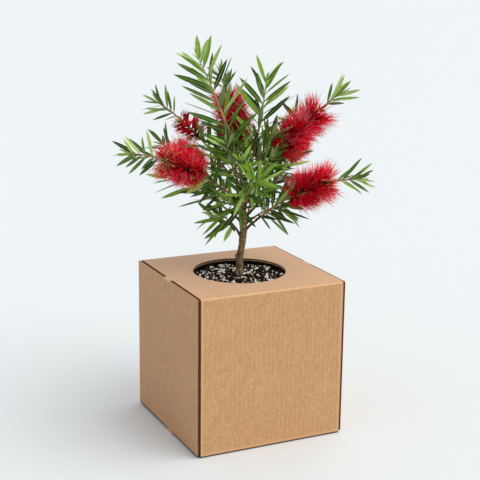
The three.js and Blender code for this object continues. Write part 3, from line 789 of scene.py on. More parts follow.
# `start` is a height on the trunk and `tip` a place from its foot. `bow` bends the line between them.
# `bare` and `flower` are shares of it, `radius` is a spike's, and `crest` counts the leaves beyond it.
SHOOTS = [
    dict(name="leader", start=128, tip=(-55, 8, 274), bow=(4, 0, 2), bare=0, leaves=38, vigour=1.16,
         fan=0.6),
    dict(name="right_leader", start=108, tip=(32, -3, 246), bow=(4, 0, 0), bare=0.22, leaves=32,
         vigour=1.14, fan=0.6),
    dict(name="upper_left", start=103, tip=(-80, 80, 214), bow=(2, 2, 11), bare=0.22, leaves=13,
         flower=(0.50, 0.75), radius=18, crest=15),
    dict(name="left", start=91, tip=(-150, -7, 167), bow=(0, 0, 13), bare=0.14, leaves=22, droop=0.2,
         flower=(0.385, 0.725), radius=28, crest=20),
    dict(name="rear_top", start=116, tip=(-9, 45, 250), bow=(7, 2, 0), bare=0.2, leaves=12,
         flower=(0.38, 0.86), radius=26, crest=8),
    dict(name="upper_right", start=97, tip=(113, -41, 230), bow=(-1.5, 0.7, 8), bare=0.16, leaves=15,
         flower=(0.385, 0.86), radius=30, crest=13, closed=0.65),
    dict(name="right", start=55, tip=(116, -92, 131), bow=(0, 0, 18), bare=0.17, leaves=17,
         flower=(0.41, 0.785), radius=30, crest=13, closed=0.85),
    dict(name="front", start=83, tip=(-13, -76, 138), bow=(0, 0, 5), bare=0.2, leaves=24, twigs=1),
    dict(name="low_left", start=44, tip=(-30, -8, 80), bow=(0, 0, 6), bare=0.35, leaves=12,
         twigs=1, droop=0.55),
    dict(name="low_right", start=63, tip=(60, -5, 86), bow=(0, 0, 5), bare=0.25, leaves=13,
         twigs=1, droop=0.45),
    dict(name="mid_left", start=75, tip=(-26, -44, 98), bow=(0, 0, 5), bare=0.2, leaves=11,
         twigs=1, droop=0.1),
    dict(name="centre_left", start=99, tip=(-28, -17, 172), bow=(-2, -2, 2), bare=0.2, leaves=20, twigs=3),
    dict(name="centre_right", start=120, tip=(35, -19, 180), bow=(2, 0, 2), bare=0.2, leaves=20, twigs=2),
    dict(name="rear_right", start=87, tip=(76, 9, 152), bow=(0, 0, 4), bare=0.18, leaves=18, twigs=2),
    dict(name="back_left", start=79, tip=(-52, 134, 150), bow=(0, 0, 8), bare=0.15, leaves=18,
         flower=(0.54, 0.87), radius=27, crest=10),
    dict(name="back_right", start=71, tip=(120, 86, 190), bow=(20, -15, 8), bare=0.15, leaves=18,
         flower=(0.52, 0.82), radius=23, crest=10),
    dict(name="back_upper", start=111, tip=(22, 72, 196), bow=(0, 4, 4), bare=0.2, leaves=18, twigs=2),
    dict(name="back_low_left", start=66, tip=(-84, 40, 124), bow=(0, 0, 8), bare=0.2, leaves=15, twigs=1),
    dict(name="back_low_right", start=50, tip=(52, 60, 98), bow=(0, 0, 8), bare=0.2, leaves=15, twigs=1),
    dict(name="back_middle", start=91, tip=(26, 98, 138), bow=(0, 0, 6), bare=0.18, leaves=18, twigs=2),
]
print("shoots:", len(SHOOTS), "of which", sum("flower" in shoot for shoot in SHOOTS), "carry a spike")

# %% Small sums that the rule needs
LEAF = dict(length=44.0, width=6.4, crest_scale=0.78, twig_scale=0.8, lowest=207.0,
            turn=137.5, turn_jitter=24, foot_spread=58, tip_spread=33, spread_jitter=14, roll_jitter=70)
TWIG_LEAVES = 7
LIGHT = np.array([-0.3, -0.65, 0.7])  # leaves twist on their stalks to face it
SUNWARD = LIGHT * [1, 1, 0] / math.hypot(*LIGHT[:2])


def mix(a, b, t):
    """The value that lies a share `t` of the way from one to another."""
    return a + (b - a) * t


def smooth_step(low, high, x):
    """From 0 below `low` to 1 above `high`, with no corner at either."""
    t = np.clip((x - low) / (high - low), 0, 1)
    return t * t * (3 - 2 * t)


def unit(vector):
    """The same direction with a length of one, for a vector or for each row."""
    vector = np.asarray(vector, float)
    return vector / np.maximum(np.linalg.norm(vector, axis=-1, keepdims=True), 1e-12)


def seeded(seed):
    """The same run of numbers from 0 to 1 for the same seed."""
    state = (seed * 2654435761 + 12345) & 0xFFFFFFFF

    def draw():
        nonlocal state
        state = (state * 1664525 + 1013904223) & 0xFFFFFFFF
        return state / 4294967296

    return draw


def trunk_point(height):
    """The trunk's middle at a height over the mix. It steps aside a little and comes back."""
    off = 3.4 * (smooth_step(20, 50, height) - smooth_step(98, 135, height))
    return np.array([FOOT[0] + 0.9 * off, FOOT[1] - 0.43 * off, MIX_TOP + GAP + height])


def trunk_radius(height):
    """The trunk tapers towards its fork and flares at its foot."""
    return mix(4.4, 2.5, smooth_step(55, TRUNK_HEIGHT, height)) + 2.4 * math.exp(-height / 4.5)


print("the trunk's radius in mm:", round(trunk_radius(0), 1), "at its foot,",
      round(trunk_radius(TRUNK_HEIGHT), 1), "at its fork")

# %% The line of a limb
class Line:
    """A limb's bent centreline, with a steady frame round it."""

    def __init__(self, start, end, bow):
        self.start, self.end = np.array(start, float), np.array(end, float)
        self.control = (self.start + self.end) / 2 + 2 * np.array(bow, float)
        steep = abs(unit(self.end - self.start)[2]) > 0.85
        self.reference = np.array([1.0, 0, 0] if steep else [0, 0, 1.0])
        walk = np.array([self.here(t) for t in np.linspace(0, 1, 201)])
        self.length = np.linalg.norm(np.diff(walk, axis=0), axis=1).sum()

    def here(self, t):
        """The point at a share of the line, from 0 at its start to 1 at its end."""
        return (1 - t) ** 2 * self.start + 2 * t * (1 - t) * self.control + t**2 * self.end

    def at(self, t):
        """The point, and the directions along the line, to its side and over it."""
        along = unit(2 * (1 - t) * (self.control - self.start) + 2 * t * (self.end - self.control))
        side = unit(self.reference - along * np.dot(self.reference, along))
        return self.here(t), along, side, np.cross(along, side)


def shoot_line(shoot):
    """A shoot's line, from the trunk to its tip."""
    x, y, z = shoot["tip"]
    return Line(trunk_point(shoot["start"]), (FOOT[0] + x, FOOT[1] + y, MIX_TOP + z), shoot["bow"])


print("the leader's line is", round(shoot_line(SHOOTS[0]).length), "mm long")

# %% The growing rule
def leaf_plan(line, start, end, count, scale, droop, random, closed=1, fan=0):
    """Leaves spiral up a stem: spreading at its foot, upright at its tip, longest in the middle."""
    phase, leaves = random() * 360, []
    for i in range(count):
        share = (i + 0.6) / count
        here, along, side, over = line.at(mix(start, end, share))
        turn = math.radians(phase + i * LEAF["turn"] + (random() - 0.5) * LEAF["turn_jitter"])
        spread = mix(LEAF["foot_spread"], LEAF["tip_spread"], share**1.5) * closed
        spread = math.radians(spread + (random() - 0.5) * LEAF["spread_jitter"])
        roll = math.radians((random() - 0.5) * LEAF["roll_jitter"])
        size = (0.8 + 0.26 * math.sin(math.pi * share) - 0.12 * share) * (0.86 + 0.28 * random())
        width = LEAF["width"] * scale * (0.85 + 0.3 * random())
        around = side * math.cos(turn) + over * math.sin(turn)
        around = unit(around - SUNWARD * (fan * np.dot(around, SUNWARD)))
        out = along * math.cos(spread) + around * math.sin(spread)
        out = unit(out - [0, 0, droop])
        face = LIGHT + 0.4 * along
        face = unit(face - out * np.dot(face, out))
        face = face * math.cos(roll) + np.cross(out, face) * math.sin(roll)
        leaves.append(dict(root=here, out=out, face=face, length=LEAF["length"] * scale * size, width=width,
                           share=share))
    return leaves


print("a leaf is", LEAF["length"], "mm long before its place on the shoot counts")

# %% Twigs, and a whole shoot
def twig_plan(line, start, end, count, random):
    """Side twigs leave a stem alternately, and reach forward and outward."""
    twigs = []
    for i in range(count):
        share = mix(0.1, 0.62, (i + random() * 0.5) / count)
        here, along, side, over = line.at(mix(start, end, share))
        angle = math.radians(70 + i * 165 + random() * 60)
        outward = side * math.cos(angle) + over * math.sin(angle)
        reach = mix(34, 24, share) * (0.85 + 0.3 * random())
        twigs.append(Line(here, here + along * reach * 0.74 + outward * reach * 0.66, outward * 1.5))
    return twigs


def grown(index, shoot):
    """Everything that the rule grows on one shoot, in the order in which it draws its numbers."""
    random, line = seeded(index + 1), shoot_line(shoot)
    gap = GAP / line.length
    start = shoot["bare"] + gap
    end = shoot["flower"][0] - gap if "flower" in shoot else 1
    droop = shoot.get("droop", 0)
    leaves = leaf_plan(line, mix(start, end, 0.05), end, shoot["leaves"], shoot.get("vigour", 1), droop,
                       random, fan=shoot.get("fan", 0))
    twigs = twig_plan(line, start, end, shoot.get("twigs", 0), random)
    twig_leaves = [leaf_plan(twig, 0.3, 1, TWIG_LEAVES, LEAF["twig_scale"], droop, random)
                   for twig in twigs]
    crest = []
    if "flower" in shoot:
        crest = leaf_plan(line, mix(shoot["flower"][1], 1, 0.1), 1, shoot["crest"], LEAF["crest_scale"], 0,
                          random, shoot.get("closed", 1))
    return dict(shoot=shoot, line=line, leaves=leaves, twigs=twigs, twig_leaves=twig_leaves, crest=crest)


plants = [grown(index, shoot) for index, shoot in enumerate(SHOOTS)]
print("leaves by the rule:",
      sum(len(p["leaves"]) + len(p["crest"]) + sum(map(len, p["twig_leaves"])) for p in plants))

# %% [markdown]
# ## A heap for small shapes
# Thousands of leaves and stamens can't each be an object. A heap collects their corners and faces as
# arrays, and makes one mesh of them at the end.

# %% The heap
class Heap:
    """Corners, faces and the slot of each face, kept until they become one piece."""

    def __init__(self):
        self.vertices, self.count = [], 0
        self.faces, self.slots = {3: [], 4: []}, {3: [], 4: []}

    def add(self, vertices, groups):
        """Groups are pairs: an array of triangles or quads, and a slot number or one for each face."""
        for faces, slot in groups:
            sides = faces.shape[1]
            self.faces[sides].append(faces + self.count)
            self.slots[sides].append(np.broadcast_to(slot, len(faces)))
        self.vertices.append(vertices)
        self.count += len(vertices)

    def piece(self, name, materials):
        """All of it as one object."""
        faces, slots = [], []
        for sides in (3, 4):
            if self.faces[sides]:
                faces += np.concatenate(self.faces[sides]).tolist()
                slots.append(np.concatenate(self.slots[sides]))
        return piece(name, np.concatenate(self.vertices), faces, materials, np.concatenate(slots))


print("an empty heap has", Heap().count, "corners")

# %% Tubes and directions
def tube(points, radii, side, over, slot=0):
    """A closed tube through points. Radii are one row for each ring, with a value for each of its sides."""
    rings, sides = radii.shape
    angles = np.linspace(0, 2 * math.pi, sides, endpoint=False)
    around = side[:, None] * np.cos(angles)[None, :, None] + over[:, None] * np.sin(angles)[None, :, None]
    body = (points[:, None] + around * radii[..., None]).reshape(-1, 3)
    vertices = np.concatenate([body, points[:1], points[-1:]])
    i, j = np.meshgrid(np.arange(rings - 1), np.arange(sides), indexing="ij")
    i, j = i.ravel(), j.ravel()
    k = (j + 1) % sides
    walls = np.stack([i * sides + j, i * sides + k, (i + 1) * sides + k, (i + 1) * sides + j], 1)
    j = np.arange(sides)
    k = (j + 1) % sides
    last = (rings - 1) * sides
    caps = np.concatenate([np.stack([np.full(sides, len(body)), k, j], 1),
                           np.stack([np.full(sides, len(body) + 1), last + j, last + k], 1)])
    slot_of = np.broadcast_to(slot, rings - 1)
    cap_slots = np.repeat([slot_of[0], slot_of[-1]], sides)
    return vertices, [(walls, np.repeat(slot_of, sides)), (caps, cap_slots)]


def frames(line, shares):
    """What a line says at several shares of it, as arrays."""
    return (np.array(rows) for rows in zip(*(line.at(t) for t in shares)))


def beside(ways):
    """Two directions square to each row and to each other. A row near the upright takes X to start from."""
    steep = np.abs(ways[:, 2:]) > 0.8
    side = unit(np.cross(ways, np.where(steep, [[1.0, 0, 0]], [[0, 0, 1.0]])))
    return side, np.cross(ways, side)


def both(angles, first, second):
    """One row for each angle, turned from the first direction towards the second."""
    return np.asarray(first) * np.cos(angles)[:, None] + np.asarray(second) * np.sin(angles)[:, None]


print("tubes and directions are ready")

# %% [markdown]
# ## Bark
# Old bark on a young bottlebrush is grey-brown and splits into long shallow plates. The relief has to be in
# the mesh, so the trunk is a fine tube whose rings are pushed in and out by noise stretched along the stem.
# Where a bough leaves, the wood swells into a collar, and a pruned shoot has healed into a knob.

# %% Bark material
def bark(name, dark, mid, pale, scale):
    """Plates in three tones, drawn out along the upright, with patches where they hardly show."""
    material, tree, place = patterned(name, mid, 0.85, Specular_IOR_Level=0.3)
    plates = speckle(tree, squashed(tree, place, 0.46), scale, 4.0, 0.7)
    patch = speckle(tree, place, scale * 0.28, 2.0)
    tone = blended(tree, ranged(tree, plates, 0.38, 0.52), dark, mid)
    tone = blended(tree, ranged(tree, plates, 0.52, 0.66), tone, pale)
    tone = blended(tree, ranged(tree, patch, 0.45, 0.65, 0, 0.5), tone, mid)
    put_on(tree, tone, plates, 0.7, 0.0006)
    return material


old_bark = bark("old_bark", shade(58, 43, 26), shade(134, 108, 76), shade(196, 170, 130), 420.0)
bough_bark = bark("bough_bark", shade(36, 25, 20), shade(86, 60, 44), shade(136, 102, 78), 520.0)
print("bark for the trunk and for the boughs")

# %% The trunk
def relief(angle, height, seed, size):
    """How far bark stands out at a place on a limb: long plates with cracks between them."""
    x, y = math.cos(angle), math.sin(angle)
    crack = abs(noise.noise((1.7 * x + seed, 1.7 * y, height * 0.085)))
    fine = noise.noise((4.0 * x, 4.0 * y + seed, height * 0.28))
    lump = noise.noise((0.9 * x, 0.9 * y, height * 0.06 + seed))
    return size * (-0.9 * max(0.0, 0.22 - crack) / 0.22 + 0.45 * fine + 1.1 * lump)


TRUNK_SIDES, TRUNK_LOW, RING_STEP = 36, -3.0, 0.8
COLLAR = dict(reach=0.9, tall=4.0, wide=0.75)
KNOB_SIDE = math.atan2(0.43, -0.9)
KNOBS = (  # the healed stub of a pruned shoot, the dimple in its middle, and a swelling under it
    dict(height=23.5, reach=3.0, tall=2.7, wide=0.52), dict(height=23.5, reach=-1.1, tall=1.0, wide=0.22),
    dict(height=10, reach=0.7, tall=4.0, wide=1.2),
)
heights = np.arange(TRUNK_LOW, TRUNK_HEIGHT + 0.5, RING_STEP)
heights = np.append(heights[heights < TRUNK_HEIGHT], TRUNK_HEIGHT)
angles = np.linspace(0, 2 * math.pi, TRUNK_SIDES, endpoint=False)
centres = np.array([trunk_point(h) for h in heights])
radii = np.array([[trunk_radius(max(h, 0)) + relief(a, h, 3.1, 0.30) for a in angles] for h in heights])
radii *= (1 - 0.14 * smooth_step(118, TRUNK_HEIGHT, heights))[:, None]


def bump_out(radii, bearing, height, reach, tall, wide):
    """Lifts the bark round one place on the trunk: `tall` is in mm and `wide` in radians."""
    apart = (angles - bearing + math.pi) % (2 * math.pi) - math.pi
    along, round_it = np.exp(-(((heights - height) / tall) ** 2)), np.exp(-((apart / wide) ** 2))
    radii += reach * along[:, None] * round_it[None]


for plant in plants:
    leaving = plant["line"].at(0.05)[1]
    bump_out(radii, math.atan2(leaving[1], leaving[0]), plant["shoot"]["start"] + 1.5, **COLLAR)
for knob in KNOBS:
    bump_out(radii, KNOB_SIDE, **knob)

upright = np.tile([0.0, 0, 1], (len(heights), 1))
across = np.tile([1.0, 0, 0], (len(heights), 1))
trunk_heap = Heap()
trunk_heap.add(*tube(centres, radii, across, np.cross(upright, across)))
trunk = trunk_heap.piece("trunk_bark", [old_bark])
stands_for(trunk, "bark", "trunk")

# %% The boughs
BOUGH = {"sides": 14, "foot": 1.75, "end": 1.38, "swell": 0.8, "relief": 0.13}
bough_heap = Heap()
for number, plant in enumerate(plants):
    bare = plant["shoot"]["bare"]
    if not bare:
        continue
    steps = max(12, int(bare * plant["line"].length / 0.9))
    shares = np.linspace(0, bare, steps)
    here, _, side, over = frames(plant["line"], shares)
    distance = shares * plant["line"].length
    swell = BOUGH["swell"] * np.exp(-np.maximum(0, distance - 3.5) / 2.6)
    wood = mix(BOUGH["foot"], BOUGH["end"], shares / bare) + swell
    ring_angles = np.linspace(0, 2 * math.pi, BOUGH["sides"], endpoint=False)
    rough = np.array([[relief(a, 1.6 * d, number * 5.3, BOUGH["relief"]) for a in ring_angles]
                      for d in distance])
    bough_heap.add(*tube(here, wood[:, None] + rough, side, over))
boughs = bough_heap.piece("boughs_bark", [bough_bark])
stands_for(boughs, "young_bark", *[name for name in NODES if name.startswith("bough_")])

# %% [markdown]
# ## Leafy stems and twigs
# The wood of the year is thin and smooth, with a small step at each leaf. It is tan where it meets its
# bough and turns green towards the tip. Each stretch has its own plain colour, dealt out along the stem. A
# shoot that flowers has the strength for a stouter stem, and that one stays tan.

# %% Stems and twigs
stem_materials = [
    principled("stem_tan", shade(158, 114, 78), 0.6),
    principled("stem_blush", shade(204, 154, 116), 0.55),
    principled("stem_green", shade(160, 154, 92), 0.5),
]
TAN, BLUSH, GREEN = range(3)
STEM_BASE = {"leader": 2.15, "right_leader": 1.75}  # mm in radius at the foot
OTHER_BASE = 1.35
FLOWERING = dict(tip=0.85, green_from=2.0)  # never green, as it ends at a share of 1
LEAFY = dict(tip=0.5, green_from=0.72)
TWIG = dict(base=0.85, tip=0.42, green_from=0.45)
STEM_SIDES = 8


def grow_stem(heap, line, start, end, base, tip, green_from, nodes=()):
    """A thin tapering stem with a small step at each leaf."""
    steps = max(8, int((end - start) * line.length / 2.2))
    shares = np.linspace(start, end, steps + 1)
    here, _, side, over = frames(line, shares)
    part = (shares - start) / (end - start)
    radii = mix(base, tip, part**0.8)
    for node in nodes:
        radii = radii + 0.16 * np.exp(-(((shares - node) * line.length / 1.4) ** 2))
    middle = (part[1:] + part[:-1]) / 2
    slots = np.where(middle < green_from * 0.55, TAN, np.where(middle < green_from, BLUSH, GREEN))
    heap.add(*tube(here, np.repeat(radii[:, None], STEM_SIDES, 1), side, over, slots))


stem_heap = Heap()
for plant in plants:
    shoot, line = plant["shoot"], plant["line"]
    start = max(0.0, shoot["bare"] - 0.01)
    nodes = np.linspace(start + 0.04, 0.98, shoot["leaves"])
    kind = FLOWERING if "flower" in shoot else LEAFY
    grow_stem(stem_heap, line, start, 1.0, STEM_BASE.get(shoot["name"], OTHER_BASE), nodes=nodes, **kind)
    for twig in plant["twigs"]:
        grow_stem(stem_heap, twig, 0.0, 1.0, **TWIG)
twigs = stem_heap.piece("twigs", stem_materials)
stands_for(twigs, "young_bark")

# %% [markdown]
# ## Leaves
# A bottlebrush leaf is a stiff lance, some forty millimetres long and six wide, with a pale midrib and a
# paler underside. It could be a flat card, but a card has no thickness and no underside. So each is a
# closed blade of a few dozen faces: two halves that rise from the midrib, a narrow strip for the midrib,
# and a keel below.

# %% The leaf blade
STATIONS = np.array([0, 0.07, 0.22, 0.42, 0.64, 0.84, 1.0])  # shares of the leaf's length
HALF_WIDTH = np.array([0.15, 0.32, 0.80, 1.0, 0.94, 0.58, 0.0])
MIDRIB = np.array([0.13, 0.13, 0.12, 0.10, 0.09, 0.07, 0.0])
KEEL = np.array([0.55, 0.5, 0.42, 0.36, 0.28, 0.18, 0.0])  # mm below the blade
NARROW, RISE = 0.86, 0.13  # of the rule's width, and of the half width: how far a blade's edges stand up
TINTS = {  # upper side, for leaves from old to young
    "leaf_deep": shade(34, 62, 2), "leaf_green": shade(66, 107, 8), "leaf_fresh": shade(116, 156, 46),
    "leaf_young": shade(180, 205, 114),
}
leaf_materials = [principled(name, colour, 0.40, Specular_IOR_Level=0.24) for name, colour in TINTS.items()]
leaf_materials += [
    principled("leaf_midrib", shade(142, 164, 86), 0.5),
    principled("leaf_underside", shade(122, 142, 88), 0.6, Specular_IOR_Level=0.2),
    principled("leaf_underside_young", shade(150, 172, 94), 0.6, Specular_IOR_Level=0.2),
]
RIB_SLOT, UNDER_SLOT, UNDER_YOUNG_SLOT = range(len(TINTS), len(TINTS) + 3)


def blade_faces():
    """The faces of one leaf: five corners at each station, and one at the tip."""
    rings = len(STATIONS) - 1
    top, rib, under = [], [], []
    for i in range(rings - 1):
        for j, kind in zip(range(5), (top, rib, top, under, under)):
            k = (j + 1) % 5
            kind.append([5 * i + j, 5 * i + k, 5 * i + 5 + k, 5 * i + 5 + j])
    tip, last = 5 * rings, 5 * (rings - 1)
    tips = [[last + j, last + (j + 1) % 5, tip] for j in range(5)]
    root = [[0, 2, 1], [0, 3, 2], [0, 4, 3]]
    return {"top": np.array(top), "rib": np.array(rib), "under": np.array(under), "tips": np.array(tips),
            "root": np.array(root)}


BLADE = blade_faces()
print("one leaf has", 2 * sum(len(BLADE[key]) for key in ("top", "rib", "under")) + 8, "triangles")

# %% Adding a leaf
def add_leaf(heap, leaf, tint, bend, twist):
    """One leaf. Its halves rise from the midrib, it bends along its length, and it twists a little."""
    out, face = leaf["out"], leaf["face"]
    across = np.cross(out, face)
    half = (HALF_WIDTH * leaf["width"] / 2 * NARROW)[:, None]
    rib = (MIDRIB * leaf["width"] / 2)[:, None]
    angle = np.radians(twist) * STATIONS
    wide, lift = both(angle, across, face), both(angle, face, -across)
    spine = (leaf["root"] + out * (STATIONS * leaf["length"])[:, None]
             + face * (bend * leaf["length"] * STATIONS**2)[:, None])
    edge = lift * RISE * half
    corners = np.stack([spine - wide * half + edge, spine - wide * rib, spine + wide * rib,
                        spine + wide * half + edge, spine - lift * KEEL[:, None]], 1)
    vertices = np.concatenate([corners[:-1].reshape(-1, 3), spine[-1:]])
    under = UNDER_YOUNG_SLOT if tint > 1 else UNDER_SLOT
    tip_slots = [tint, RIB_SLOT, tint, under, under]
    heap.add(vertices, [(BLADE["top"], tint), (BLADE["rib"], RIB_SLOT), (BLADE["under"], under),
                        (BLADE["tips"], tip_slots), (BLADE["root"], under)])


print("a leaf can be added with a tint, a bend and a twist")

# %% [markdown]
# ## Dressing the shoots with leaves
# The rule gives each leaf its root, direction, length and width. A leaf that would cross a limb, or hang so
# low that it nears the lid, is left out, as on the CAD solids. The twigs' leaves come from the rule too,
# and each tip gets a tuft of small upright leaves. Sprays low and deep in the plant get darker greens and
# the tips paler ones: partly the leaves' real age, and partly painted shade.

# %% Where leaves may not go
TWIG_OWNER, TRUNK_OWNER = 100, -1  # a shoot's owner number is its place in the list, a twig's 100 more
LIMB_STEP, LEAF_GAP = 3, 1.0  # mm
BOUGH_RADIUS, TWIG_RADIUS = 1.5, 0.8
limbs = [(trunk_point(height), TRUNK_OWNER, trunk_radius(height))
         for height in np.arange(0, TRUNK_HEIGHT, LIMB_STEP)]
for number, plant in enumerate(plants):
    lines = [(plant["line"], number, BOUGH_RADIUS)]
    lines += [(twig, TWIG_OWNER + number, TWIG_RADIUS) for twig in plant["twigs"]]
    for line, owner, radius in lines:
        steps = max(4, int(line.length / LIMB_STEP))
        limbs += [(line.here(t), owner, radius) for t in np.linspace(0, 1, steps)]
limb_points, limb_owner, limb_radius = map(np.array, zip(*limbs))


def leaf_is_clear(leaf, owner):
    """Whether a leaf misses every limb but its own, and stays above the lid."""
    probes = leaf["root"] + leaf["out"] * (leaf["length"] * np.array([0.3, 0.45, 0.6, 0.75, 0.9]))[:, None]
    if (leaf["root"] + leaf["out"] * leaf["length"])[2] < LEAF["lowest"]:
        return False
    others = limb_owner != owner
    gaps = np.linalg.norm(probes[:, None] - limb_points[others][None], axis=2) - limb_radius[others][None]
    return gaps.min() > LEAF_GAP


print("points on limbs that a leaf keeps clear of:", len(limbs))

# %% Dressing the shoots
def tuft_plan(line, count, length, rng):
    """Small upright leaves round a shoot's very tip."""
    here, along, side, over = line.at(1.0)
    leaves = []
    for i in range(count):
        turn, spread = i * 2.4 + rng.uniform(-0.2, 0.2), math.radians(rng.uniform(8, 30))
        around = side * math.cos(turn) + over * math.sin(turn)
        out = unit(along * math.cos(spread) + around * math.sin(spread))
        face = unit(along - around * 0.2 + LIGHT * 0.2)
        face = unit(face - out * np.dot(face, out))
        leaves.append(dict(root=here - along * rng.uniform(0, 2.5), out=out, face=face, share=1.0,
                           length=length * rng.uniform(0.6, 1.1),
                           width=length * 0.17 * rng.uniform(0.8, 1.1)))
    return leaves


AGE_AND_SHADE = {  # how young a spray looks, from 0 for old and deep to 1; low and inner sprays also darker as painted shade
    "leader": 0.44, "right_leader": 0.46, "upper_left": 0.34, "left": 0.30, "rear_top": 0.35,
    "upper_right": 0.40, "right": 0.44, "front": 0.40, "low_left": 0.22, "low_right": 0.15,
    "mid_left": 0.18, "centre_left": 0.24, "centre_right": 0.26, "rear_right": 0.18, "back_left": 0.30,
    "back_right": 0.32, "back_upper": 0.28, "back_low_left": 0.18, "back_low_right": 0.15,
    "back_middle": 0.25,
}
leaf_heap = Heap()
rng = np.random.default_rng(41)
grown_leaves = 0
for number, plant in enumerate(plants):
    shoot = plant["shoot"]
    planned = [(leaf, number, 0.0) for leaf in plant["leaves"]]
    for twig, leaves in zip(plant["twigs"], plant["twig_leaves"]):
        planned += [(leaf, TWIG_OWNER + number, 0.05) for leaf in leaves]
        planned += [(leaf, TWIG_OWNER + number, 0.3) for leaf in tuft_plan(twig, 4, 15, rng)]
    planned += [(leaf, number, 0.03) for leaf in plant["crest"]]
    planned += [(leaf, number, 0.2) for leaf in tuft_plan(plant["line"], 4, 17, rng)]
    for leaf, owner, younger in planned:
        if not leaf_is_clear(leaf, owner):
            continue
        # Darker tints for low and inner sprays are partly real age and partly painted shade.
        youth_and_shade = AGE_AND_SHADE[shoot["name"]] + younger + 0.24 * leaf["share"] ** 2 + rng.normal(0, 0.28)
        tint = int(np.clip(youth_and_shade * len(TINTS), 0, len(TINTS) - 1))
        add_leaf(leaf_heap, leaf, tint, bend=rng.normal(-0.015, 0.035), twist=rng.normal(0, 14))
        grown_leaves += 1
leaves = leaf_heap.piece("leaves", leaf_materials)
leaves.data.set_sharp_from_angle(angle=math.radians(38))
stands_for(leaves, "green_leaf", *[name for name in NODES if name.startswith(("leaves_", "crest_"))])
print("leaves grown:", grown_leaves)

# %% [markdown]
# ## Flower spikes
# A spike is some fifty small flowers set round the stem. Each is a small cup with a tuft of long red
# stamens, and the tufts together make the brush. Hair particles would be quick, but they are lost on
# export, so each stamen is a thin three-sided stalk that tapers and bends forward. Tufts are laid out in a
# spiral, so that the brush shows bundles and darker gaps as the real one does. Each stamen's root part is
# painted darker, as painted shade in the brush's core.

# %% Stamens
red_materials = [
    principled("stamen_scarlet", (0.97, 0.008, 0.036), 0.7, Specular_IOR_Level=0.04),
    principled("stamen_crimson", (0.62, 0.002, 0.012), 0.7, Specular_IOR_Level=0.04),
    principled("stamen_rose", (1.0, 0.22, 0.29), 0.6, Specular_IOR_Level=0.1),
    principled("stamen_root_shade", (0.07, 0.001, 0.002), 0.6, Specular_IOR_Level=0.1),
    principled("stamen_deep", (0.24, 0.002, 0.005), 0.6, Specular_IOR_Level=0.1),
]
SCARLET, CRIMSON, ROSE, ROOT_SHADE, DEEP = range(len(red_materials))
STAMEN_RINGS, STAMEN_GIRTH = (0.0, 0.38, 0.76), (1.0, 0.92, 0.78)  # shares of length and of thickness


def stamen_template():
    """Faces of one stamen: three rings of three corners, and a point."""
    walls = [[3 * i + j, 3 * i + (j + 1) % 3, 3 * i + 3 + (j + 1) % 3, 3 * i + 3 + j]
             for i in range(2) for j in range(3)]
    ends = [[6 + j, 6 + (j + 1) % 3, 9] for j in range(3)] + [[0, 2, 1]]
    return np.array(walls), np.array(ends)


STAMEN_WALLS, STAMEN_ENDS = stamen_template()


def add_stamens(heap, base, direction, length, bend, thick, inner, outer):
    """Many stamens at once, with a row of every argument for each. Two slots colour its root and end."""
    count = len(base)
    along = unit(direction)
    side, over = beside(along)
    rings = []
    for share, wide in zip(STAMEN_RINGS, STAMEN_GIRTH):
        centre = base + along * (length * share)[:, None] + bend * (length * share**2)[:, None]
        for corner in range(3):
            angle = 2 * math.pi * corner / 3
            around = side * math.cos(angle) + over * math.sin(angle)
            rings.append(centre + around * (thick * wide)[:, None])
    tips = base + along * length[:, None] + bend * length[:, None]
    vertices = np.stack(rings + [tips], 1).reshape(-1, 3)
    step = 10 * np.arange(count)[:, None, None]
    walls = (STAMEN_WALLS[None] + step).reshape(-1, 4)
    ends = (STAMEN_ENDS[None] + step).reshape(-1, 3)
    wall_slots = np.stack([inner] * 3 + [outer] * 3, 1).reshape(-1)
    end_slots = np.stack([outer] * 3 + [inner], 1).reshape(-1)
    heap.add(vertices, [(walls, wall_slots), (ends, end_slots)])
    return tips


print("one stamen has", 2 * len(STAMEN_WALLS) + len(STAMEN_ENDS), "triangles")

# %% The florets of a spike
FULL = dict(florets=54, stamens=42, cone=27, stout=1)
SPARSE = dict(florets=15, stamens=28, cone=26, stout=1.35)  # a fading spike has lost most of its florets
SPARSE_BELOW = 20  # mm in radius: a spike thinner than this is a fading one
SHED_STAMENS = 16  # the lit side sheds first, and the spike's own wood shows there
SHADE_LIFT = {"rear_top": 0.16}  # painted light: this spike stands in the leader's shade and is dealt brighter reds


def florets_of(plant, rng):
    """Where each floret of a spike sits, which way it points, and whether the spike is a sparse one."""
    shoot, line = plant["shoot"], plant["line"]
    opens, ends = shoot["flower"]
    sparse = shoot["radius"] < SPARSE_BELOW
    count = (SPARSE if sparse else FULL)["florets"]
    florets = []
    for i in range(count):
        share = 0.02 + 0.80 * (i + 0.5) / count + rng.uniform(-0.01, 0.01)
        here, along, side, over = line.at(mix(opens, ends, share))
        angle = i * 2.39996 + rng.uniform(-0.25, 0.25)
        around = side * math.cos(angle) + over * math.sin(angle)
        lean = math.radians(mix(2, 38, share**0.8) + rng.uniform(-6, 6))
        swell = smooth_step(-0.2, 0.2, share) * (1 + 0.05 * smooth_step(0.5, 0.82, share))
        florets.append(dict(share=share, root=here, along=along, around=around, swell=swell,
                            aim=unit(around * math.cos(lean) + along * math.sin(lean))))
    return florets, sparse


print("a full spike has", FULL["florets"], "florets, and a sparse one", SPARSE["florets"])

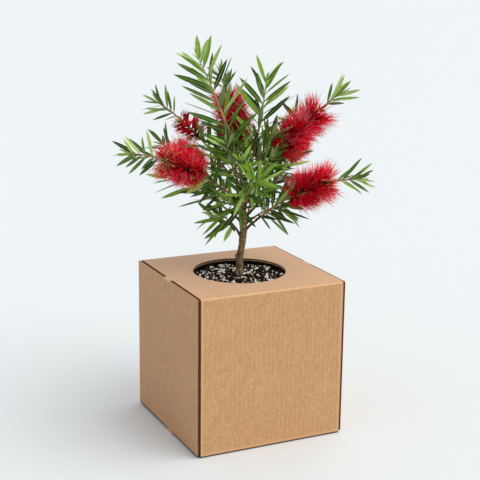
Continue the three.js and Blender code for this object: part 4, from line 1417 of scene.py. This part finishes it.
# %% The stamens of a spike
def reds(tone, sparse):
    """The slots of each stamen's outer half and root, from dark to bright. The root is painted darker, as
    shade in the brush's core. A fading spike has no rose.
    """
    outer = np.select([tone < 0.0, tone < 0.2, tone < 0.77], [DEEP, CRIMSON, SCARLET], ROSE)
    if sparse:
        outer = np.select([tone < 0.2, tone < 0.7], [DEEP, CRIMSON], SCARLET)
    return outer, np.select([tone < 0.25, tone < 0.6], [ROOT_SHADE, DEEP], CRIMSON)


def brush(plant, rng, stamen_heap, anther_spots):
    """The stamens of one spike. Returns its florets for the cups."""
    shoot = plant["shoot"]
    florets, sparse = florets_of(plant, rng)
    kind = SPARSE if sparse else FULL
    for floret in florets:
        sheds = floret["share"] > 0.6 and np.dot(floret["around"], SUNWARD) > 0.35 and not sparse
        count = SHED_STAMENS if sheds else kind["stamens"]
        aim = floret["aim"]
        cross_side = unit(np.cross(aim, floret["along"]))
        cross_up = np.cross(aim, cross_side)
        cone = np.radians(kind["cone"]) * np.sqrt(rng.uniform(0, 1, count))
        outward = both(rng.uniform(0, 2 * math.pi, count), cross_side, cross_up)
        direction = unit(both(cone, aim, outward))
        base = floret["root"] + floret["around"] * 1.8 + outward * 0.8 + aim * 0.5
        usual = rng.uniform(0, 1, count) < 0.78
        length = np.where(usual, rng.uniform(0.66, 0.92, count), rng.uniform(0.92, 1.10, count))
        length = length * shoot["radius"] * floret["swell"] * (rng.uniform(0.7, 1.25) if sparse else 1)
        forward, inward = rng.uniform(-0.02, 0.14, count)[:, None], 0.12 * rng.uniform(0, 1, count)[:, None]
        bend = floret["along"] * forward - outward * inward + rng.normal(0, 0.035, (count, 3))
        thick = rng.uniform(0.26, 0.39, count) * kind["stout"]
        # One spike is painted brighter to lift it out of the leader's shade.
        tone = rng.normal(0.5, 0.2) + rng.normal(0, 0.2, count) + SHADE_LIFT.get(shoot["name"], 0)
        outer, inner = reds(tone, sparse)
        tips = add_stamens(stamen_heap, base, direction, length, bend, thick, inner, outer)
        anther_spots.append((tips, unit(direction + bend)))
    return florets


print("a full spike has up to", FULL["florets"] * FULL["stamens"], "stamens")

# %% The brushes
BACK_SPIKES = ("upper_left", "rear_top", "back_left", "back_right")
front_heap, back_heap, anther_spots, all_florets = Heap(), Heap(), [], []
rng = np.random.default_rng(7)
for plant in plants:
    if "flower" in plant["shoot"]:
        heap = back_heap if plant["shoot"]["name"] in BACK_SPIKES else front_heap
        all_florets.append((plant, brush(plant, rng, heap, anther_spots)))
for name, heap, is_back in (("stamens_front", front_heap, False), ("stamens_back", back_heap, True)):
    spikes = [node for node in NODES if node.startswith("flower_")
              and (node.removeprefix("flower_") in BACK_SPIKES) == is_back]
    stands_for(heap.piece(name, red_materials), "stamens", *spikes)

# %% Anthers
anther_materials = [principled("anther_dark", shade(112, 24, 28), 0.6),
                    principled("anther_gold", shade(206, 160, 96), 0.6)]
SLIM = 0.7  # width for length
BEARING, GOLDEN = 0.5, 0.18  # the shares of stamens that keep their anther, and of golden ones among these
tips, ways = (np.concatenate(rows) for rows in zip(*anther_spots))
keep = rng.uniform(0, 1, len(tips)) < BEARING
tips, ways = tips[keep], ways[keep]
side, over = beside(ways)
size = rng.uniform(0.28, 0.42, len(tips))[:, None]
length, width, height = ways * size, side * size * SLIM, over * size * SLIM
corners = np.stack([tips + length, tips + width, tips + height, tips - width, tips - height,
                    tips - length], 1)
eight = np.array([[0, 1, 2], [0, 2, 3], [0, 3, 4], [0, 4, 1], [5, 2, 1], [5, 3, 2], [5, 4, 3], [5, 1, 4]])
faces = (eight[None] + 6 * np.arange(len(tips))[:, None, None]).reshape(-1, 3)
golden = (rng.uniform(0, 1, len(tips)) < GOLDEN).astype(int)
anther_heap = Heap()
anther_heap.add(corners.reshape(-1, 3), [(faces, np.repeat(golden, len(eight)))])
stands_for(anther_heap.piece("anthers", anther_materials), "stamens")

# %% [markdown]
# ## Cups, petals and bud scales
# Between the stamens the spike's own wood shows: small green-brown cups, each with a few round petals.
# Where the spike ends and the leafy shoot goes on, dry scales of the old bud curl back, golden against the
# red.

# %% Colours of cups and scales, and a curled scale
cup_materials = [
    principled("cup_green", shade(112, 112, 52), 0.6), principled("cup_brown", shade(96, 56, 36), 0.65),
    principled("petal", shade(168, 146, 96), 0.6), principled("scale_gold", shade(214, 170, 98), 0.55),
    principled("scale_brown", shade(140, 92, 50), 0.6),
]
CUP, CUP_BROWN, PETAL, GOLD, SCALE_BROWN = range(len(cup_materials))
SCALE_WIDTHS, SCALE_THICK = np.array([0.7, 1.0, 1.0, 0.85, 0.6, 0.15]), 0.18


def strip(heap, root, out, face, length, width, curl, slot):
    """A narrow closed scale that curls towards its face."""
    stations = len(SCALE_WIDTHS)
    angle = curl * np.linspace(0, 1, stations) ** 2
    ways, normals = both(angle, out, face), both(angle, face, -out)
    spine = root + np.concatenate([[np.zeros(3)], np.cumsum(ways[:-1] * length / (stations - 1), 0)])
    half = np.cross(out, face) * (width / 2 * SCALE_WIDTHS)[:, None]
    thick = normals * SCALE_THICK
    corners = np.stack([spine - half, spine + thick, spine + half, spine - thick], 1).reshape(-1, 3)
    walls = [[4 * i + j, 4 * i + (j + 1) % 4, 4 * i + 4 + (j + 1) % 4, 4 * i + 4 + j]
             for i in range(stations - 1) for j in range(4)]
    last = 4 * (stations - 1)
    walls += [[3, 2, 1, 0], [last, last + 1, last + 2, last + 3]]
    heap.add(corners, [(np.array(walls), slot)])


print("a scale has", len(SCALE_WIDTHS), "stations")

# %% Cups, petals and bud scales
CUP_OUT, CUP_RADII, CUP_SIDES = np.array([0.7, 1.9, 2.9]), np.array([0.7, 1.25, 1.45]), 6  # mm
PETALS = dict(count=4, length=2.3, width=1.7, curl=0.7)
SCALES = {"left": dict(count=22, reach=26, width=2.4)}  # these are the largest
OTHER_SCALES = dict(count=20, reach=17, width=2.0)


def add_cup(heap, floret, rng):
    """A floret's cup, with its petals round the rim."""
    around, along = floret["around"], floret["along"]
    side = np.cross(around, along)
    points = floret["root"] + around * CUP_OUT[:, None]
    slot = CUP_BROWN if rng.uniform() < 0.55 else CUP
    heap.add(*tube(points, np.repeat(CUP_RADII[:, None], CUP_SIDES, 1), np.tile(side, (len(points), 1)),
                   np.tile(-along, (len(points), 1)), slot))
    for turn in rng.uniform(0, 2 * math.pi) + np.arange(PETALS["count"]) * 1.571:
        lean = side * math.cos(turn) + along * math.sin(turn)
        strip(heap, points[-1] + lean, unit(around * 0.7 + lean), unit(around * 0.7 - lean),
              PETALS["length"], PETALS["width"], PETALS["curl"], PETAL if rng.uniform() < 0.6 else CUP)


def add_scales(heap, plant, rng):
    """The dry bud scales where a spike ends. More of them lean to the lit side."""
    here, along, side, over = plant["line"].at(mix(*plant["shoot"]["flower"], 0.9))
    scales = SCALES.get(plant["shoot"]["name"], OTHER_SCALES)
    for i in range(scales["count"]):
        turn = i * 2.4 + rng.uniform(-0.3, 0.3)
        around = side * math.cos(turn) + over * math.sin(turn)
        around = unit(around + 1.1 * (SUNWARD - along * np.dot(SUNWARD, along)))
        tilt = math.radians(rng.uniform(45, 95))
        out = along * math.cos(tilt) + around * math.sin(tilt)
        face = -along * math.sin(tilt) + around * math.cos(tilt)
        slot = GOLD if rng.uniform() < 0.5 else SCALE_BROWN if rng.uniform() < 0.5 else CUP
        strip(heap, here + around * 0.9 + along * rng.uniform(-4, 4), out, face,
              scales["reach"] * rng.uniform(0.65, 1.0), scales["width"] * rng.uniform(0.7, 1.2),
              rng.uniform(-1.5, 3.0), slot)


cup_heap = Heap()
rng = np.random.default_rng(19)
for plant, florets in all_florets:
    for floret in florets:
        add_cup(cup_heap, floret, rng)
    add_scales(cup_heap, plant, rng)
stands_for(cup_heap.piece("cups_and_scales", cup_materials), "stamens")

# %% [markdown]
# ## Finish

# %% Finish
print("pieces are all in place")
